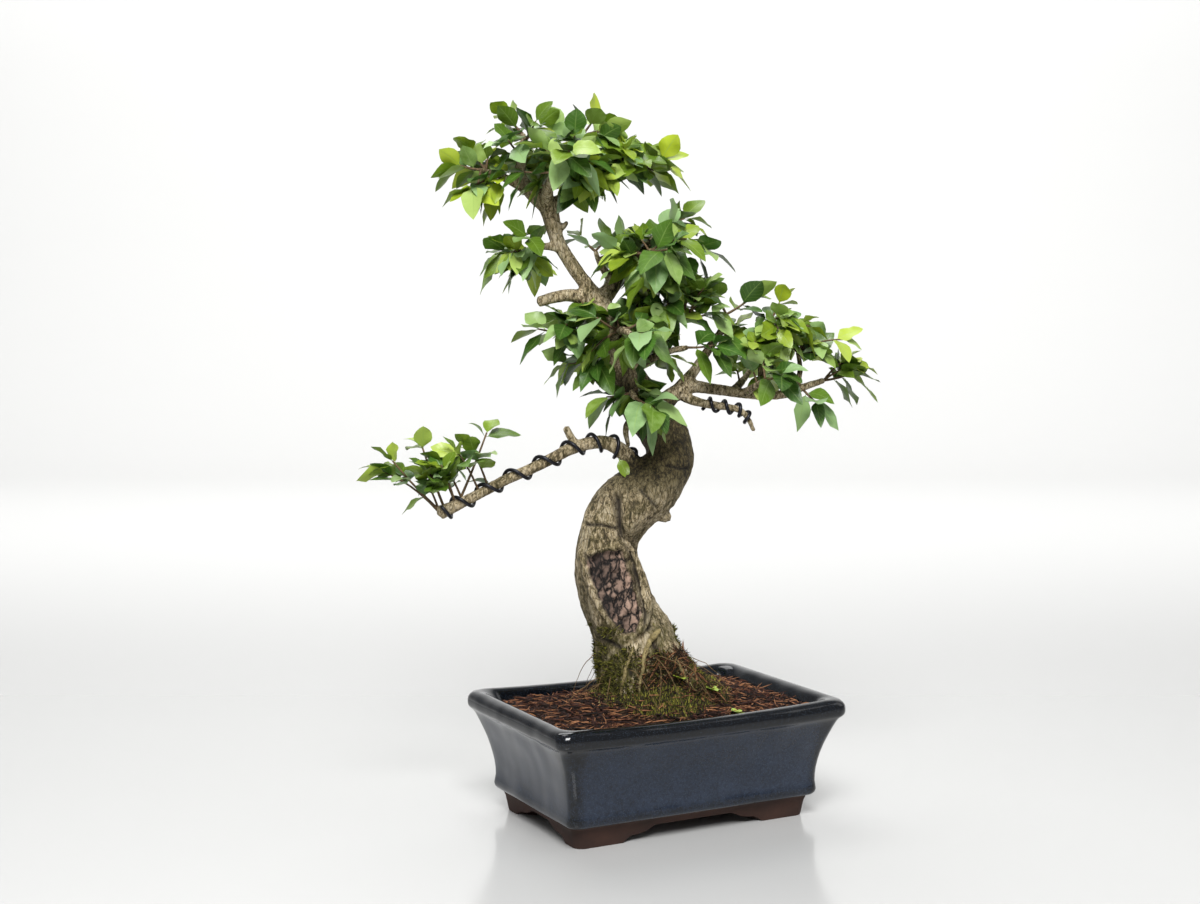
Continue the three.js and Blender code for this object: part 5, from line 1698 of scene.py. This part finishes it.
class BONSAI_OT_sprays(bpy.types.Operator):
    """Makes the leafy sprays"""
    bl_idname = "bonsai.sprays"
    bl_label = "Leafy sprays"

    def execute(self, context):
        settings = context.scene.bonsai_leaf
        dice = random.Random(SEEDS["sprays"])
        made_of = (leaf_template(), waxy_leaf(settings), settings.thickness, dice)
        twigs = []
        for number, (*_, youth) in enumerate(SPRAYS):
            twig, found = spray_leaves(number)
            if not found:
                raise RuntimeError(f"spray {number + 1} shows no leaf where its solid has one")
            tones = [leaf_tone(youth, s, dice) for _, s in found]
            leaf_piece(f"leaves_{number + 1:02d}", [leaf for leaf, _ in found], tones, made_of,
                       [f"spray_{number + 1:02d}"])
            line = [twig_point(twig, s) * MM + SHIFT for s in np.linspace(0, 1, 7)]
            twigs.append(tube(line, np.linspace(1.2, 0.7, 7) * MM, 6))
        finish = bare_root(settings.twig, "Young twig skin")
        piece("spray_twigs", mesh_from(twigs), [finish])
        return {"FINISHED"}


# Seedlings on the mound as the viewer sees them, across and up, and the leaf by the wire
SEEDLINGS = [(19, 118), (46, 108), (-58, 90), (66, 92)]
WIRE_LEAF = (-30, -22, 299)


class BONSAI_OT_shoots(bpy.types.Operator):
    """Fills the foliage with further shoots, and adds the seedlings and the leaf by the wire"""
    bl_idname = "bonsai.shoots"
    bl_label = "Further shoots"

    def execute(self, context):
        settings = context.scene.bonsai_leaf
        dice = random.Random(SEEDS["shoots"])
        finish = bpy.data.materials["Evergreen leaf, waxy"]
        made_of = (leaf_template(), finish, settings.thickness, dice)
        spots = limb_spots()
        twigs = []
        for name, (middle, half, count, youth) in MASSES.items():
            leaves, tones = [], []
            for _ in range(count):
                target = np.array(middle) + unit_ball(dice) * half
                curve, grown, shades = shoot(target, spots, youth, dice)
                leaves += grown
                tones += shades
                twigs.append(tube(curve * MM + SHIFT, np.linspace(1.1, 0.6, len(curve)) * MM, 5))
            leaf_piece("shoots_" + name, leaves, tones, made_of)
        leaves = [turned_leaf((from_view(WIRE_LEAF)[0] - SHIFT) / MM, unit([0.1, -0.5, -0.9]), 0, 10,
                              17, 0.1, 10, 1)]
        skins = ground()
        for across, up in SEEDLINGS:
            spot = seen_on(skins, across, up)
            if spot is None:
                raise RuntimeError(f"no soil is seen at {across}, {up} for a seedling")
            foot = (spot - SHIFT) / MM
            for turn in range(0, 360, 72):
                leaves.append(turned_leaf(foot + UP, unit([0.2, -0.2, 1]), turn, 55,
                                          dice.uniform(8, 12), 0.3, 0, turn))
        leaf_piece("seedlings", leaves, [dice.uniform(0.6, 0.9) for _ in leaves], made_of)
        piece("shoot_twigs", mesh_from(twigs), [bpy.data.materials["Young twig skin"]])
        return {"FINISHED"}


class BONSAI_PT_panel(bpy.types.Panel):
    """Sidebar panel of the bonsai"""
    bl_label = "Bonsai"
    bl_idname = "BONSAI_PT_panel"
    bl_space_type = "VIEW_3D"
    bl_region_type = "UI"
    bl_category = "Bonsai"

    def draw(self, context):
        for key in SETTINGS:
            group = getattr(context.scene, key)
            box = self.layout.box()
            for name in group.__annotations__:
                box.prop(group, name)
        for operator in OPERATORS:
            self.layout.operator(operator.bl_idname)


OPERATORS = (BONSAI_OT_stage, BONSAI_OT_pot, BONSAI_OT_drain_screens, BONSAI_OT_soil,
             BONSAI_OT_wood, BONSAI_OT_moss, BONSAI_OT_wires, BONSAI_OT_sprays,
             BONSAI_OT_shoots)
SETTINGS = {"bonsai_stage": StageSettings, "bonsai_pot": PotSettings, "bonsai_soil": SoilSettings,
            "bonsai_wood": WoodSettings, "bonsai_wire": WireSettings,
            "bonsai_leaf": LeafSettings}


def register():
    for group in SETTINGS.values():
        bpy.utils.register_class(group)
    for name, group in SETTINGS.items():
        setattr(bpy.types.Scene, name, PointerProperty(type=group))
    for operator in OPERATORS:
        bpy.utils.register_class(operator)
    bpy.utils.register_class(BONSAI_PT_panel)


def unregister():
    bpy.utils.unregister_class(BONSAI_PT_panel)
    for operator in reversed(OPERATORS):
        bpy.utils.unregister_class(operator)
    for name in SETTINGS:
        delattr(bpy.types.Scene, name)
    for group in reversed(list(SETTINGS.values())):
        bpy.utils.unregister_class(group)


def main():
    register()
    bpy.ops.bonsai.stage()
    bpy.ops.bonsai.pot()
    bpy.ops.bonsai.drain_screens()
    bpy.ops.bonsai.soil()
    bpy.ops.bonsai.wood()
    bpy.ops.bonsai.moss()
    bpy.ops.bonsai.wires()
    bpy.ops.bonsai.sprays()
    bpy.ops.bonsai.shoots()


if __name__ == "__main__":
    main()
